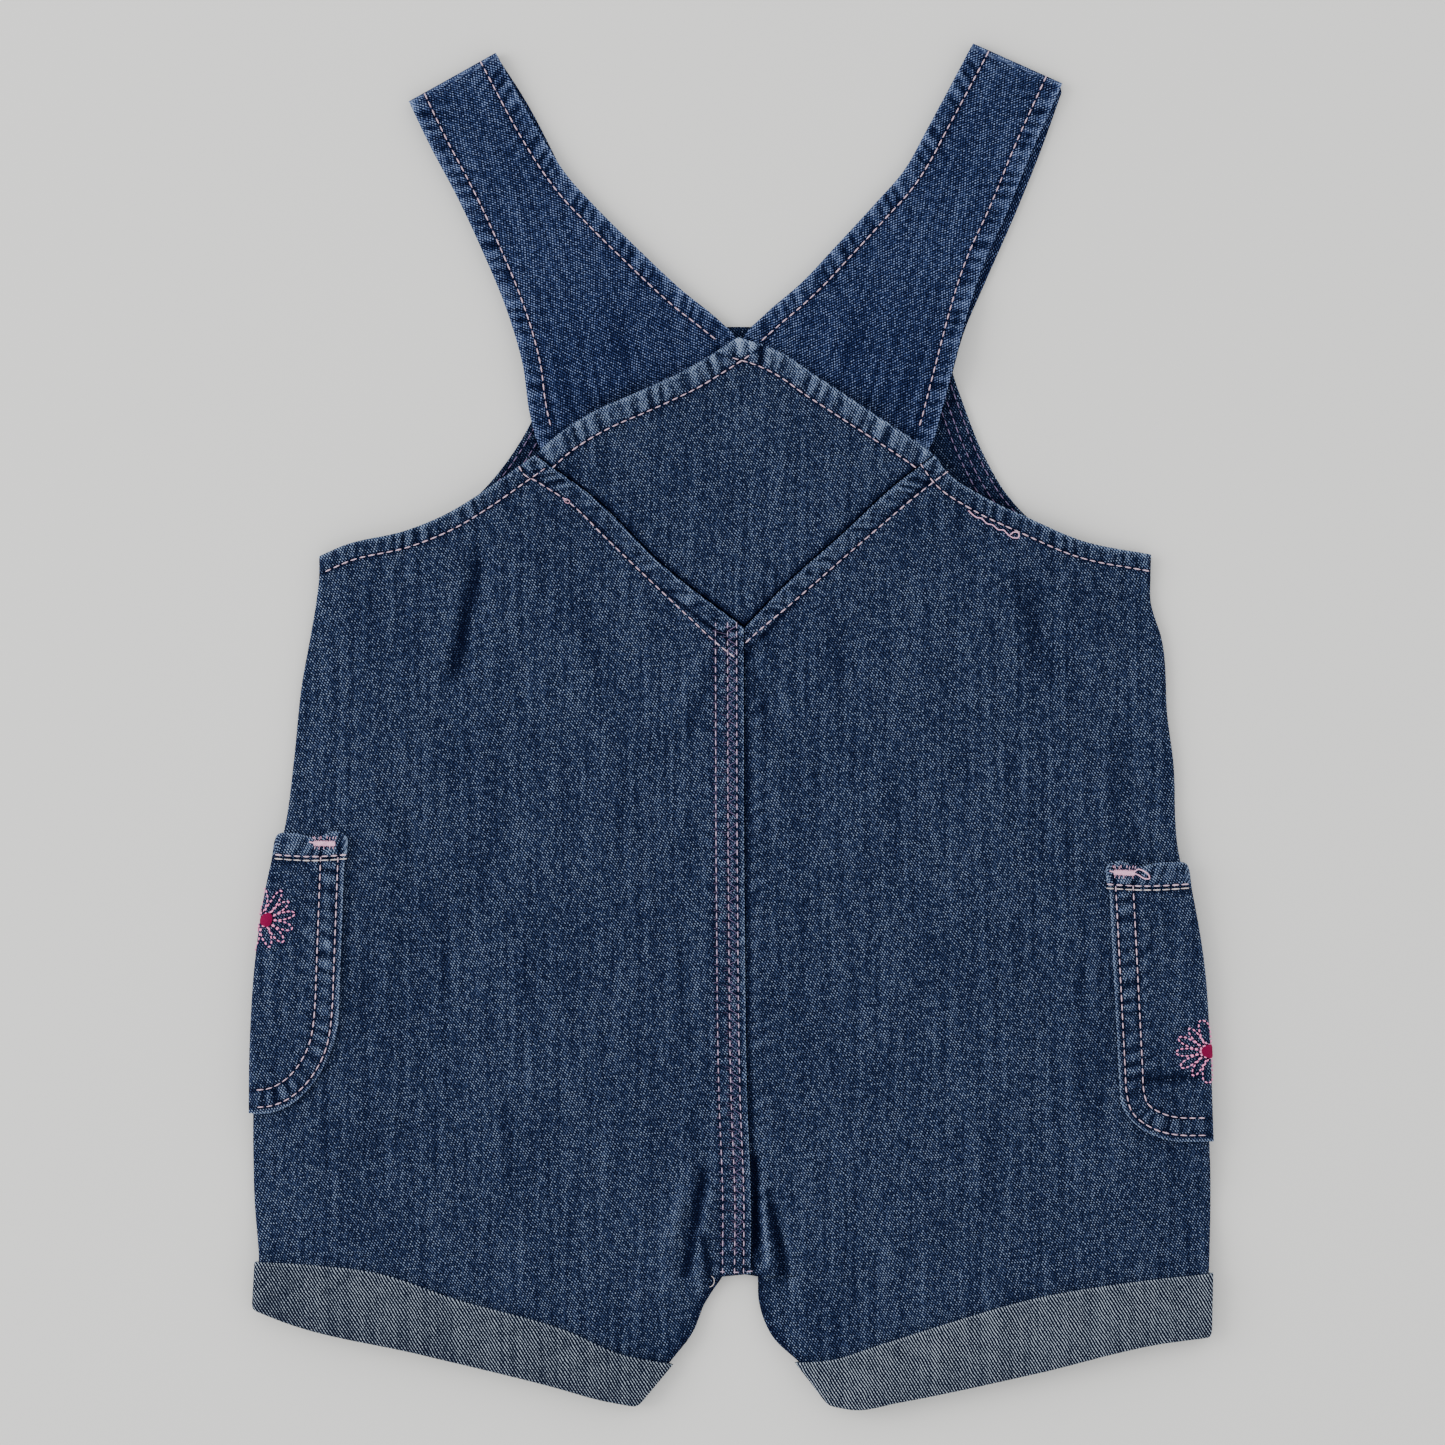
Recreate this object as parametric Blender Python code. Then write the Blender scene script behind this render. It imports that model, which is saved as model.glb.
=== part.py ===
"""Baby's denim shortalls laid out flat on their front, back upwards, in the pieces a maker cuts and sews.

Units here are millimetres until the meshes are made. X runs across the garment, Y up it towards the
shoulders, and Z up from the table, with the origin under the middle of the garment.
"""

import math

import bmesh
import bpy
import numpy as np

MM = 0.001

# Cloth and seams
WALL = 1.0
SEAM_GAP = 0.3
LAY_GAP = 0.35
LAYER = WALL + LAY_GAP
FOLD_RADIUS = 1.3
FLAT_HEIGHT = 2 * FOLD_RADIUS
PUFF = 1.3
HEM_RISE = 0.5
SHIFT_X = 0.1
SHIFT_Y = -0.2

# Widths of hems and seams, across them
YOKE_SEAM = 5.7
CENTRE_SEAM = 8.0
STRAP_HEM = 5.4

# The side edges of the body, from the armhole to the leg's end. Columns: y, x
LEFT_SIDE = ((51.0, -123.6), (44.0, -123.7), (38.0, -124.4), (26.0, -126.4), (14.0, -128.6), (-10.0, -131.2),
             (-28.0, -133.4), (-46.0, -137.8), (-70.0, -141.4), (-94.0, -143.0), (-118.0, -143.3),
             (-142.0, -143.0), (-160.4, -141.6), (-175.0, -142.5))
RIGHT_SIDE = ((51.5, 125.8), (44.0, 125.6), (38.0, 125.6), (26.0, 129.0), (2.0, 130.8), (-10.0, 132.4),
              (-37.0, 133.8), (-52.0, 137.2), (-70.0, 140.2), (-94.0, 142.0), (-118.0, 142.9),
              (-142.0, 143.6), (-163.8, 143.0), (-183.0, 142.6))

# The armhole edges of the back, from the side to the yoke's corner. Columns: x, y
LEFT_ARMHOLE = ((-123.6, 51.0), (-116.3, 54.2), (-97.2, 58.8), (-85.7, 63.5), (-74.3, 70.4), (-63.5, 78.0),
                (-58.9, 81.2))
RIGHT_ARMHOLE = ((125.8, 51.5), (104.7, 55.7), (89.4, 62.2), (74.1, 69.5), (64.2, 76.4), (60.9, 81.2))

# The yoke's lower seam on each side of the back, from its corner to its point. Columns: x, y
LEFT_YOKE_SEAM = ((-58.9, 81.2), (-41.8, 68.9), (-20.8, 48.4), (3.6, 29.6))
RIGHT_YOKE_SEAM = ((60.9, 81.2), (50.3, 73.4), (32.7, 57.2), (17.4, 43.6), (3.9, 29.6))

# The centre back seam's lapped edge. Columns: y, x
CENTRE_EDGE = ((29.6, 3.6), (-52.0, 3.9), (-112.0, 4.7), (-142.0, 5.8), (-163.9, 5.7))
CROTCH_Y = -163.9

# The inner edge of each leg, from the crotch to the cuff's top and on to the leg's end. Columns: x, y
LEFT_INSEAM = ((-2.7, -164.9), (-8.2, -173.2), (-11.3, -180.9), (-18.8, -190.8))
RIGHT_INSEAM = ((7.9, -164.9), (8.2, -172.4), (12.2, -182.6), (20.3, -190.4))

# The line of each cuff's top edge and of its folded bottom, from the side to the inner leg. Columns: x, y
LEFT_CUFF_TOP = ((-141.6, -160.4), (-124.7, -161.2), (-107.6, -163.2), (-81.8, -171.5), (-48.2, -181.2),
                 (-33.8, -187.6), (-18.8, -190.8))
LEFT_CUFF_BOTTOM = ((-142.5, -175.0), (-134.9, -178.0), (-93.2, -187.9), (-53.9, -197.5), (-36.8, -202.2),
                    (-29.4, -203.6))
RIGHT_CUFF_TOP = ((143.0, -163.8), (118.7, -166.4), (91.2, -171.0), (63.8, -178.8), (45.2, -184.7),
                  (27.4, -190.0), (20.3, -190.4))
RIGHT_CUFF_BOTTOM = ((142.6, -183.0), (128.0, -184.9), (91.2, -193.6), (50.0, -202.3), (36.6, -204.6),
                     (30.2, -203.6))
LEG_END = 0.82

# The yoke's hemmed top edge, from its left corner over the point to its right corner. Columns: x, y
YOKE_LEFT_TOP = ((-57.9, 81.4), (-53.0, 86.6), (-40.9, 94.3), (-28.5, 99.8), (-13.2, 107.0), (2.0, 116.5))
YOKE_RIGHT_TOP = ((59.9, 81.4), (54.5, 85.8), (40.4, 95.0), (25.1, 105.0), (13.6, 112.6), (2.0, 116.5))

# Straps: the two edges of the part on the back, from the yoke to the shoulder. Columns: x, y
LEFT_STRAP_OUTER = ((-55.6, 80.6), (-57.2, 83.2), (-60.2, 92.5), (-62.6, 108.6), (-67.1, 124.0),
                    (-74.9, 143.0), (-82.5, 159.2), (-90.2, 173.7), (-96.8, 187.4))
LEFT_STRAP_INNER = ((1.2, 108.2), (1.1, 116.6), (-2.9, 120.9), (-15.2, 131.0), (-28.9, 143.9), (-40.4, 155.3),
                    (-48.8, 164.5), (-56.5, 176.0), (-70.7, 202.0))
RIGHT_STRAP_OUTER = ((57.6, 80.6), (59.6, 84.0), (63.2, 95.6), (67.0, 110.2), (70.0, 121.6), (75.4, 138.4),
                     (82.4, 153.8), (89.2, 170.6), (99.2, 192.8))
RIGHT_STRAP_INNER = ((2.6, 108.2), (3.9, 117.0), (9.7, 123.2), (21.1, 133.1), (31.9, 144.6), (42.6, 156.2),
                     (51.8, 166.8), (58.6, 179.0), (72.4, 204.8))
# The middle of the part that hangs down the front, from the shoulder to its end. Columns: x, y
LEFT_STRAP_FRONT = ((-83.7, 194.7), (-73.6, 178.8), (-63.0, 158.4), (-52.3, 139.8), (-43.4, 121.8),
                    (-38.9, 108.0))
RIGHT_STRAP_FRONT = ((86.5, 198.8), (78.6, 176.8), (71.2, 158.6), (63.2, 140.4), (55.6, 122.4),
                     (51.6, 108.0))
STRAP_WIDTH = 29.4
STRAP_FRONT_ROWS = (0.08, 0.17, 0.28, 0.4, 0.52, 0.63, 0.71, 0.76, 0.8, 0.84, 0.88, 0.92, 0.96, 1.0)

# The bib's side edges, from the side seam to its top. Columns: x, y
LEFT_BIB_SIDE = ((-122.6, 50.0), (-97.0, 57.4), (-85.7, 62.2), (-75.4, 70.0), (-67.8, 78.8), (-61.6, 88.4),
                 (-55.0, 103.6), (-52.5, 119.8))
RIGHT_BIB_SIDE = ((124.8, 50.5), (104.7, 54.6), (90.4, 61.4), (82.4, 69.8), (75.4, 81.9), (69.4, 97.0),
                  (66.0, 107.0), (64.4, 119.8))
# The seam that joins the bib to the fronts. Columns: x, y
WAIST_SEAM = ((-122.6, 50.0), (1.5, 24.0), (124.8, 50.5))
CENTRE_FRONT_X = 1.5

# Pockets wrap round the side seam, half on the back and half on the front.
# Columns: side, top y, bottom y, inner edge's x at the top, at the bottom, corner's radius across, down
POCKETS = {
    "left": (-31.8, -115.8, -115.5, -118.6, 24.0, 34.0),
    "right": (-40.6, -124.2, 112.6, 116.9, 20.0, 15.0),
}
POCKET_MOUTH = 1.1

BUTTON_RADIUS = 6.0
BUTTON_THICK = 1.0
BUTTON_LIFT = BUTTON_THICK + SEAM_GAP
BUTTONS = {"left": (-40.3, 112.6), "right": (52.9, 112.6)}

# The back's largest folds, as soft ridges (+) and troughs (-). Columns: x0, y0, x1, y1, half width, height
FOLDS = (
    (-72.0, 62.0, -84.0, 12.0, 5.0, -0.9),
    (-84.0, 56.0, -96.0, 10.0, 6.0, 0.8),
    (-84.0, 12.0, -88.0, -34.0, 7.0, -0.6),
    (88.0, 50.0, 94.0, 4.0, 8.0, -0.6),
    (108.0, 44.0, 112.0, 0.0, 7.0, 0.6),
    (-7.0, -138.0, -11.5, -172.0, 2.6, 1.7),
    (-11.0, -140.0, -16.5, -166.0, 2.8, -1.1),
    (11.0, -140.0, 11.5, -170.0, 2.4, 1.3),
    (12.5, -142.0, 16.5, -172.0, 2.8, -1.0),
    (-60.0, -60.0, -66.0, -150.0, 12.0, 0.5),
    (70.0, -70.0, 76.0, -150.0, 12.0, 0.5),
)

DENIM = (0.027, 0.045, 0.098, 1.0)
DENIM_REVERSE = (0.11, 0.135, 0.175, 1.0)
BUTTON_METAL = (0.32, 0.30, 0.27, 1.0)


def smooth(value):
    """0 below 0, 1 above 1 and an even curve between them."""
    t = min(max(value, 0.0), 1.0)
    return t * t * (3 - 2 * t)


def line_through(points):
    """A smooth curve through points, as a function of the share of its length, straight on past its ends."""
    knots = np.array(points, float)
    steps = np.linalg.norm(np.diff(knots, axis=0), axis=1)
    at = np.concatenate([[0], np.cumsum(steps)]) / steps.sum()
    slopes = np.gradient(knots, at, axis=0)

    def point(share):
        inside = min(max(share, 0.0), 1.0)
        i = min(max(int(np.searchsorted(at, inside)) - 1, 0), len(at) - 2)
        span = at[i + 1] - at[i]
        t = (inside - at[i]) / span
        ends = (2 * t**3 - 3 * t**2 + 1) * knots[i] + (3 * t**2 - 2 * t**3) * knots[i + 1]
        turn = (t**3 - 2 * t**2 + t) * slopes[i] + (t**3 - t**2) * slopes[i + 1]
        past = slopes[0] if share < 0 else slopes[-1]
        return ends + turn * span + past * (share - inside)

    return point


def height_line(rows):
    """x as a smooth function of y, from rows of (y, x) that run down the garment."""
    ys = np.array([row[0] for row in rows])[::-1]
    xs = np.array([row[1] for row in rows])[::-1]
    slopes = np.gradient(xs, ys)

    def x_at(y):
        y = min(max(y, ys[0]), ys[-1])
        i = min(max(int(np.searchsorted(ys, y)) - 1, 0), len(ys) - 2)
        span = ys[i + 1] - ys[i]
        t = (y - ys[i]) / span
        ends = (2 * t**3 - 3 * t**2 + 1) * xs[i] + (3 * t**2 - 2 * t**3) * xs[i + 1]
        turn = (t**3 - 2 * t**2 + t) * slopes[i] + (t**3 - t**2) * slopes[i + 1]
        return float(ends + turn * span)

    return x_at


SIDE_X = {"left": height_line(LEFT_SIDE), "right": height_line(RIGHT_SIDE)}
CENTRE_X = height_line(CENTRE_EDGE)
OUTWARD = {"left": -1.0, "right": 1.0}


def waist_y(x):
    """The height on the garment of the waist seam, two straight lines that meet at the centre front."""
    return float(np.interp(x, [row[0] for row in WAIST_SEAM], [row[1] for row in WAIST_SEAM]))


def past_box(x, y, low, high):
    """How far a point lies outside a box in plan, 0 or less inside it."""
    dx = max(low[0] - x, x - high[0])
    dy = max(low[1] - y, y - high[1])
    if dx > 0 and dy > 0:
        return math.hypot(dx, dy)
    return max(dx, dy)


def fade(distance, margin, length):
    """1 up to the margin, then down to 0 over the length."""
    return 1 - smooth((distance - margin) / length)


def cuff_top_y(side, x):
    rows = LEFT_CUFF_TOP if side == "left" else RIGHT_CUFF_TOP
    knots = sorted(rows)
    return float(np.interp(x, [k[0] for k in knots], [k[1] for k in knots]))


def pocket_width(side, y):
    """How far a pocket reaches in from the side edge at one height."""
    top, bottom, x_top, x_bottom, _across, _down = POCKETS[side]
    inner = x_top + (x_bottom - x_top) * (top - y) / (top - bottom)
    return abs(SIDE_X[side](y) - inner)


def pocket_lift(x, y):
    """How far a front is lifted by the pocket that lies under it."""
    lift = 0.0
    for side, (top, bottom, *_rest) in POCKETS.items():
        edge = SIDE_X[side](y)
        inner = edge - OUTWARD[side] * (pocket_width(side, y) + 4)
        low = (min(edge, inner) - 9 * (side == "left"), bottom)
        high = (max(edge, inner) + 9 * (side == "right"), top)
        lift = max(lift, LAYER * fade(past_box(x, y, low, high), 7, 11))
    return lift


def cuff_lift(x, y):
    """How far a front is lifted by the cuff that lies under it."""
    side = "left" if x < CENTRE_FRONT_X else "right"
    return LAYER * fade(y - cuff_top_y(side, x), 6, 12)


def button_lift(x, y, margin=1.0):
    """How far a strap's end, or what lies over it, is lifted by its button."""
    lift = 0.0
    for bx, by in BUTTONS.values():
        lift = max(lift, BUTTON_LIFT * fade(math.hypot(x - bx, y - by) - BUTTON_RADIUS, margin, 7.5))
    return lift


def bib_lift(x, y, margin=1.5):
    """How far the bib, or what lies over it, is lifted by the strap ends and buttons under it."""
    lift = 0.0
    for bx, by in BUTTONS.values():
        low = (bx - STRAP_WIDTH / 2 - 1, 107.0)
        high = (bx + STRAP_WIDTH / 2 + 1, 120.5)
        lift = max(lift, LAYER * fade(past_box(x, y, low, high), margin, 8.5))
    return lift + button_lift(x, y, margin * 1.6 - 0.4)


def under(x, y):
    """The height of the fronts' lower face over the table."""
    return max(pocket_lift(x, y), cuff_lift(x, y), bib_lift(x, y))


def fold_height(x, y):
    """The height that the named folds add to the back."""
    total = 0.0
    for x0, y0, x1, y1, half_width, height in FOLDS:
        along = np.array([x1 - x0, y1 - y0])
        length = float(np.hypot(*along))
        along /= length
        rel = np.array([x - x0, y - y0])
        share = float(rel @ along) / length
        off = float(rel @ np.array([-along[1], along[0]]))
        ends = smooth(share / 0.25) * smooth((1 - share) / 0.2)
        total += height * ends * math.exp(-((off / half_width) ** 2))
    return total


def back_height(x, y, from_side, from_inner):
    """The height of the back's upper face. The distances are to the folded edges beside the point."""
    puff = PUFF * smooth((from_side - FOLD_RADIUS) / 26) * smooth((from_inner - FOLD_RADIUS) / 14)
    calm = smooth((min(from_side, from_inner) - FOLD_RADIUS) / 5)
    return under(x, y) + FLAT_HEIGHT + max(puff + fold_height(x, y) * calm, 0.0)


def patch(top, bottom, side, inner):
    """A Coons patch: plan points from u (side to inner edge) and v (top to bottom)."""

    def point(u, v):
        ruled = (1 - u) * side(v) + u * inner(v) + (1 - v) * top(u) + v * bottom(u)
        corners = (1 - u) * ((1 - v) * side(0) + v * side(1)) + u * ((1 - v) * inner(0) + v * inner(1))
        return ruled - corners

    return point


def chained(pieces, breaks):
    """One edge made of several curves, each used up to its break in v."""

    def point(v):
        start = 0.0
        for piece, end in zip(pieces, breaks):
            if v <= end or end == breaks[-1]:
                return piece((v - start) / (end - start))
            start = end

    return point


def side_piece(side, y_high, y_low):
    """A stretch of the side edge between two heights."""

    def point(share):
        y = y_high + (y_low - y_high) * share
        return np.array([SIDE_X[side](y), y])

    return point


def centre_piece(shift, y_high, y_low):
    """A stretch of the centre back seam's edge, moved across by shift."""

    def point(share):
        y = y_high + (y_low - y_high) * share
        return np.array([CENTRE_X(y) + shift, y])

    return point


# Where the seams' corners fall on a body panel, as shares of its rows
YOKE_POINT_V = 0.30
CROTCH_V = 0.88
CROTCH_TURN_V = 0.90
PANEL_V = (YOKE_POINT_V, CROTCH_V, CROTCH_TURN_V, 1.0)


def body_plans(side, lay):
    """Plan functions of one body panel: down to the cuff's top, and over the cuff. lay is back or front."""
    left = side == "left"
    side_rows = LEFT_SIDE if left else RIGHT_SIDE
    cuff_top = LEFT_CUFF_TOP if left else RIGHT_CUFF_TOP
    cuff_bottom = LEFT_CUFF_BOTTOM if left else RIGHT_CUFF_BOTTOM
    inseam = LEFT_INSEAM if left else RIGHT_INSEAM
    top_y, cuff_y = side_rows[0][0], cuff_top[0][1]
    if lay == "front":
        top_y = waist_y(SIDE_X[side](top_y)) - SEAM_GAP
    sides = chained(
        [side_piece(side, top_y, 8.0), side_piece(side, 8.0, -150.0), side_piece(side, -150.0, -152.0),
         side_piece(side, -152.0, cuff_y)],
        PANEL_V,
    )
    if lay == "back":
        shift = 0.0 if left else SEAM_GAP
        seam = LEFT_YOKE_SEAM if left else RIGHT_YOKE_SEAM
        centre = centre_piece(shift, seam[-1][1], CROTCH_Y)
        upper = line_through(seam)
        top = line_through(LEFT_ARMHOLE if left else RIGHT_ARMHOLE)
    else:
        x = CENTRE_FRONT_X + (-SEAM_GAP / 2 if left else SEAM_GAP / 2)
        end = SIDE_X[side](top_y) + (1.0 if left else -1.0)

        def top(share):
            wx = end + (x - end) * share
            return np.array([wx, waist_y(wx) - SEAM_GAP])

        upper = line_through([top(1.0), (x, -5.0)])
        centre = line_through([(x, -5.0), (x, CROTCH_Y)])
    turn = line_through([centre(1.0), inseam[0]])
    inner = chained([upper, centre, turn, line_through(inseam)], PANEL_V)
    body = patch(top, line_through(cuff_top), sides, inner)
    top_line, bottom_line = line_through(cuff_top), line_through(cuff_bottom)

    def cuff(u, share):
        return (1 - share) * top_line(u) + share * bottom_line(u)

    return body, cuff


BODY_ROWS = [YOKE_POINT_V + (CROTCH_V - YOKE_POINT_V) * k / 14 for k in range(15)]
BODY_ROWS += [CROTCH_TURN_V, 0.935, 0.968, 1.0]
TOP_ROWS = {
    "back": [0.0, 0.018, 0.022, 0.055, 0.10, 0.145, 0.19, 0.24],
    "front": [0.0, 0.06, 0.13, 0.21],
}
CUFF_ROWS = (0.4, LEG_END)
FOLD_ANGLES = (6.5, 32.0, 61.0, 90.0)
# Distances of a panel's columns from its inner edge's seam and from its side fold, and how many lie between
INNER_SPACING = {"back": (3.2, 7.0, 11.5, 17.0), "front": (7.0, 17.0)}
SIDE_SPACING = {"back": (3.4, 8.0, 15.0), "front": (8.0, 33.0, 39.0, 45.0)}
MIDDLE_COLUMNS = {"back": 5, "front": 1}


def arc(angle, lift, mid, radius):
    """In-plan distance and height of a point on a fold's outside, from the fold's outermost line."""
    a = math.radians(angle)
    return radius * (1 - math.cos(a)), mid + lift * radius * math.sin(a)


def strip_width(side, lay, v, plan):
    """The width, along a row, of the raised seam that runs down the inner edge of a back panel."""
    if lay != "back":
        return CENTRE_SEAM
    if v <= YOKE_POINT_V:
        edge = plan(1.0, min(v + 0.01, YOKE_POINT_V)) - plan(1.0, max(v - 0.01, 0.0))
        row = plan(1.0, v) - plan(0.97, v)
        cross = abs(edge[0] * row[1] - edge[1] * row[0]) / (np.hypot(*edge) * np.hypot(*row))
        return YOKE_SEAM / max(cross, 0.5)
    return CENTRE_SEAM


def strip_rise(side, lay, v):
    """The height of the seam's raised strip above the panel."""
    if lay != "back" or v > CROTCH_V:
        return 0.0
    if side == "left" or v <= YOKE_POINT_V:
        return HEM_RISE
    return 0.0


def body_row(side, lay, plan, v, row_v, legs):
    """One row of a body panel: (outer point, inner point) per column, from the side to the inner edge."""
    up = 1.0 if lay == "back" else -1.0
    first, last = plan(0.0, v), plan(1.0, v)
    length = float(np.hypot(*(last - first)))
    strip = strip_width(side, lay, row_v, plan) if not legs else 0.0
    hem = HEM_RISE if lay == "back" and row_v <= 0.0185 else 0.0
    rise = 0.0 if legs else strip_rise(side, lay, row_v)

    def outer_height(x, y, t):
        if lay == "front":
            return under(x, y)
        return back_height(x, y, t, length - t if legs else 99.0)

    def flat(t, extra):
        x, y = plan(t / length, v)
        z = outer_height(x, y, t)
        return (x, y, z + extra), (x, y, z - up * WALL)

    def folded(angle, from_inner):
        edge = plan(1.0 if from_inner else 0.0, v)
        mid = under(*edge) + FOLD_RADIUS
        row = []
        for skin, radius in ((0.0, FOLD_RADIUS), (WALL, FOLD_RADIUS - WALL)):
            t, z = arc(angle, up, mid, radius)
            t += skin
            x, y = plan(1 - t / length if from_inner else t / length, v)
            row.append((x, y, z))
        return tuple(row)

    points = [folded(a, False) for a in FOLD_ANGLES]
    near = [FOLD_RADIUS + d for d in SIDE_SPACING[lay]]
    spacing = INNER_SPACING[lay]
    if legs:
        far = [FOLD_RADIUS + 1.0 + 2.0 * k for k in range(len(spacing) + 1)][::-1]
    else:
        far = [strip + d for d in (*spacing[::-1], 0.7)]
    stretch = length - near[-1] - far[0]
    count = MIDDLE_COLUMNS[lay]
    middle = [near[-1] + stretch * k / (count + 1) for k in range(1, count + 1)]
    for t in near + middle + [length - d for d in far]:
        points.append(flat(t, hem))
    if legs:
        points += [folded(a, True) for a in FOLD_ANGLES[::-1]]
    else:
        for d in (strip, strip * 0.66, strip * 0.33, 0.0):
            points.append(flat(length - d, max(rise, hem)))
    return points


def body_panel(side, lay):
    """Rows of paired points for one back or front panel, from its top edge to the leg's end."""
    body, cuff = body_plans(side, lay)
    rows = [body_row(side, lay, body, v, v, v >= CROTCH_TURN_V) for v in TOP_ROWS[lay] + BODY_ROWS]
    rows += [body_row(side, lay, cuff, s, 1.0, True) for s in CUFF_ROWS]
    return rows


def shell(name, rows, colour, closed=False):
    """A wall of cloth from rows of (outer point, inner point) pairs. A closed wall runs round each row."""
    count_rows, count_columns = len(rows), len(rows[0])
    mesh = bmesh.new()
    skins = []
    for skin in (0, 1):
        made = bmesh.ops.create_grid(mesh, x_segments=count_columns - 1, y_segments=count_rows - 1, size=1)
        verts = made["verts"]
        for index, vert in enumerate(verts):
            row, column = divmod(index, count_columns)
            x, y, z = rows[row][column][skin]
            vert.co = ((x + SHIFT_X) * MM, (y + SHIFT_Y) * MM, z * MM)
        skins.append([verts[r * count_columns:(r + 1) * count_columns] for r in range(count_rows)])
    outer, inner = skins
    rims = [(outer[0], inner[0]), (outer[-1], inner[-1])]
    if not closed:
        rims += [([row[0] for row in outer], [row[0] for row in inner]),
                 ([row[-1] for row in outer], [row[-1] for row in inner])]
    for over, below in rims:
        for k in range(len(over) - 1):
            mesh.faces.new((over[k], over[k + 1], below[k + 1], below[k]))
    if closed:
        bmesh.ops.remove_doubles(mesh, verts=mesh.verts, dist=1e-6)
    bmesh.ops.recalc_face_normals(mesh, faces=mesh.faces)
    return keep(name, mesh, colour)


def keep(name, mesh, colour):
    """Makes a named object of a finished mesh, with its own material."""
    data = bpy.data.meshes.new(name)
    mesh.to_mesh(data)
    mesh.free()
    data.shade_smooth()
    data.set_sharp_from_angle(angle=math.radians(40))
    material = bpy.data.materials.new(name)
    material.use_nodes = True
    surface = material.node_tree.nodes["Principled BSDF"]
    surface.inputs["Base Color"].default_value = colour
    surface.inputs["Roughness"].default_value = 0.9
    data.materials.append(material)
    obj = bpy.data.objects.new(name, data)
    GARMENT.objects.link(obj)
    return obj


def cuff_ring(side):
    """Rows of the turned-up cuff, each running round the leg: back, inner leg, front, side."""
    _, cuff = body_plans(side, "back")
    back_shares = [0.05, 0.12, 0.22, 0.34, 0.46, 0.58, 0.70, 0.82, 0.91, 0.96]
    ring_angles = (90.0, 60.0, 30.0, 0.0, -30.0, -60.0, -90.0)

    def ring(share, skin):
        """Points round the leg at one share of the cuff, moved out from the leg by skin."""
        first, last = cuff(0.0, share), cuff(1.0, share)
        length = float(np.hypot(*(last - first)))
        points = []

        def lie(u, up):
            x, y = cuff(u, share)
            z = back_height(x, y, u * length, (1 - u) * length) + skin if up else under(x, y) - skin
            points.append((x, y, z))

        def turn(angle, from_inner):
            edge = last if from_inner else first
            mid = under(*edge) + FOLD_RADIUS
            t, z = arc(angle, 1.0, mid, FOLD_RADIUS + skin)
            t -= skin
            x, y = cuff(1 - t / length if from_inner else t / length, share)
            points.append((x, y, z))

        for angle in ring_angles:
            turn(angle, True)
        for u in back_shares[::-1]:
            lie(u, False)
        for angle in ring_angles[::-1]:
            turn(angle, False)
        for u in back_shares:
            lie(u, True)
        return points + points[:1]

    outside = LAY_GAP + WALL
    levels = (
        (0.0, outside, LAY_GAP),
        (0.33, outside, LAY_GAP),
        (LEG_END + 0.03, outside, LAY_GAP),
        (LEG_END + 0.035, outside, -WALL),
        (0.97, outside - 0.25, -WALL),
        (1.0, outside - 0.8, -WALL + 0.5),
    )
    return [list(zip(ring(share, out), ring(share, in_))) for share, out, in_ in levels]


def pocket_rows(side):
    """Rows of a pocket, each running from its edge on the front, round the side, to its edge on the back."""
    top, bottom, _x_top, _x_bottom, across, down = POCKETS[side]
    sign = OUTWARD[side]
    flats = (1.0, 0.96, 0.88, 0.7, 0.4, 0.1)
    angles = (-90.0, -60.0, -30.0, 0.0, 30.0, 60.0, 90.0)
    levels = (0.0, 0.086, 0.092, 0.2, 0.36, 0.52, 0.66, 0.78, 0.88, 0.95, 1.0)

    def bottom_at(share):
        """The pocket's lower edge at a share of its width, with a round corner."""
        width = pocket_width(side, bottom + down / 2)
        past = max(share * width - (width - across), 0.0)
        return bottom + down * (1 - math.sqrt(1 - (past / (across + 0.5)) ** 2))

    def place(y, share, skin, up):
        t = FOLD_RADIUS + share * (pocket_width(side, y) - FOLD_RADIUS)
        x = SIDE_X[side](y) - sign * t
        z = back_height(x, y, t, 99.0) + skin if up else under(x, y) - skin
        return x, y, z

    def wrap(y, angle, skin, stand):
        edge = SIDE_X[side](y)
        mid = under(edge, y) + FOLD_RADIUS
        t, z = arc(angle, 1.0, mid, FOLD_RADIUS + skin)
        return edge - sign * (t - skin - stand), y, z

    rows = []
    for level in levels:
        mouth = POCKET_MOUTH * (1 - smooth(level / 0.12))
        lift = 0.35 if level <= 0.087 else 0.0
        row = []
        for share in flats:
            y = top + (bottom_at(share) - top) * level
            row.append((place(y, share, LAYER, False), place(y, share, LAY_GAP, False)))
        for angle in angles:
            y = top + (bottom_at(0.0) - top) * level
            stand = mouth * math.cos(math.radians(angle))
            row.append((wrap(y, angle, LAYER, stand), wrap(y, angle, LAY_GAP, stand)))
        for share in flats[::-1]:
            y = top + (bottom_at(share) - top) * level
            row.append((place(y, share, LAYER + lift, True), place(y, share, LAY_GAP, True)))
        rows.append(row)
    return rows


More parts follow.
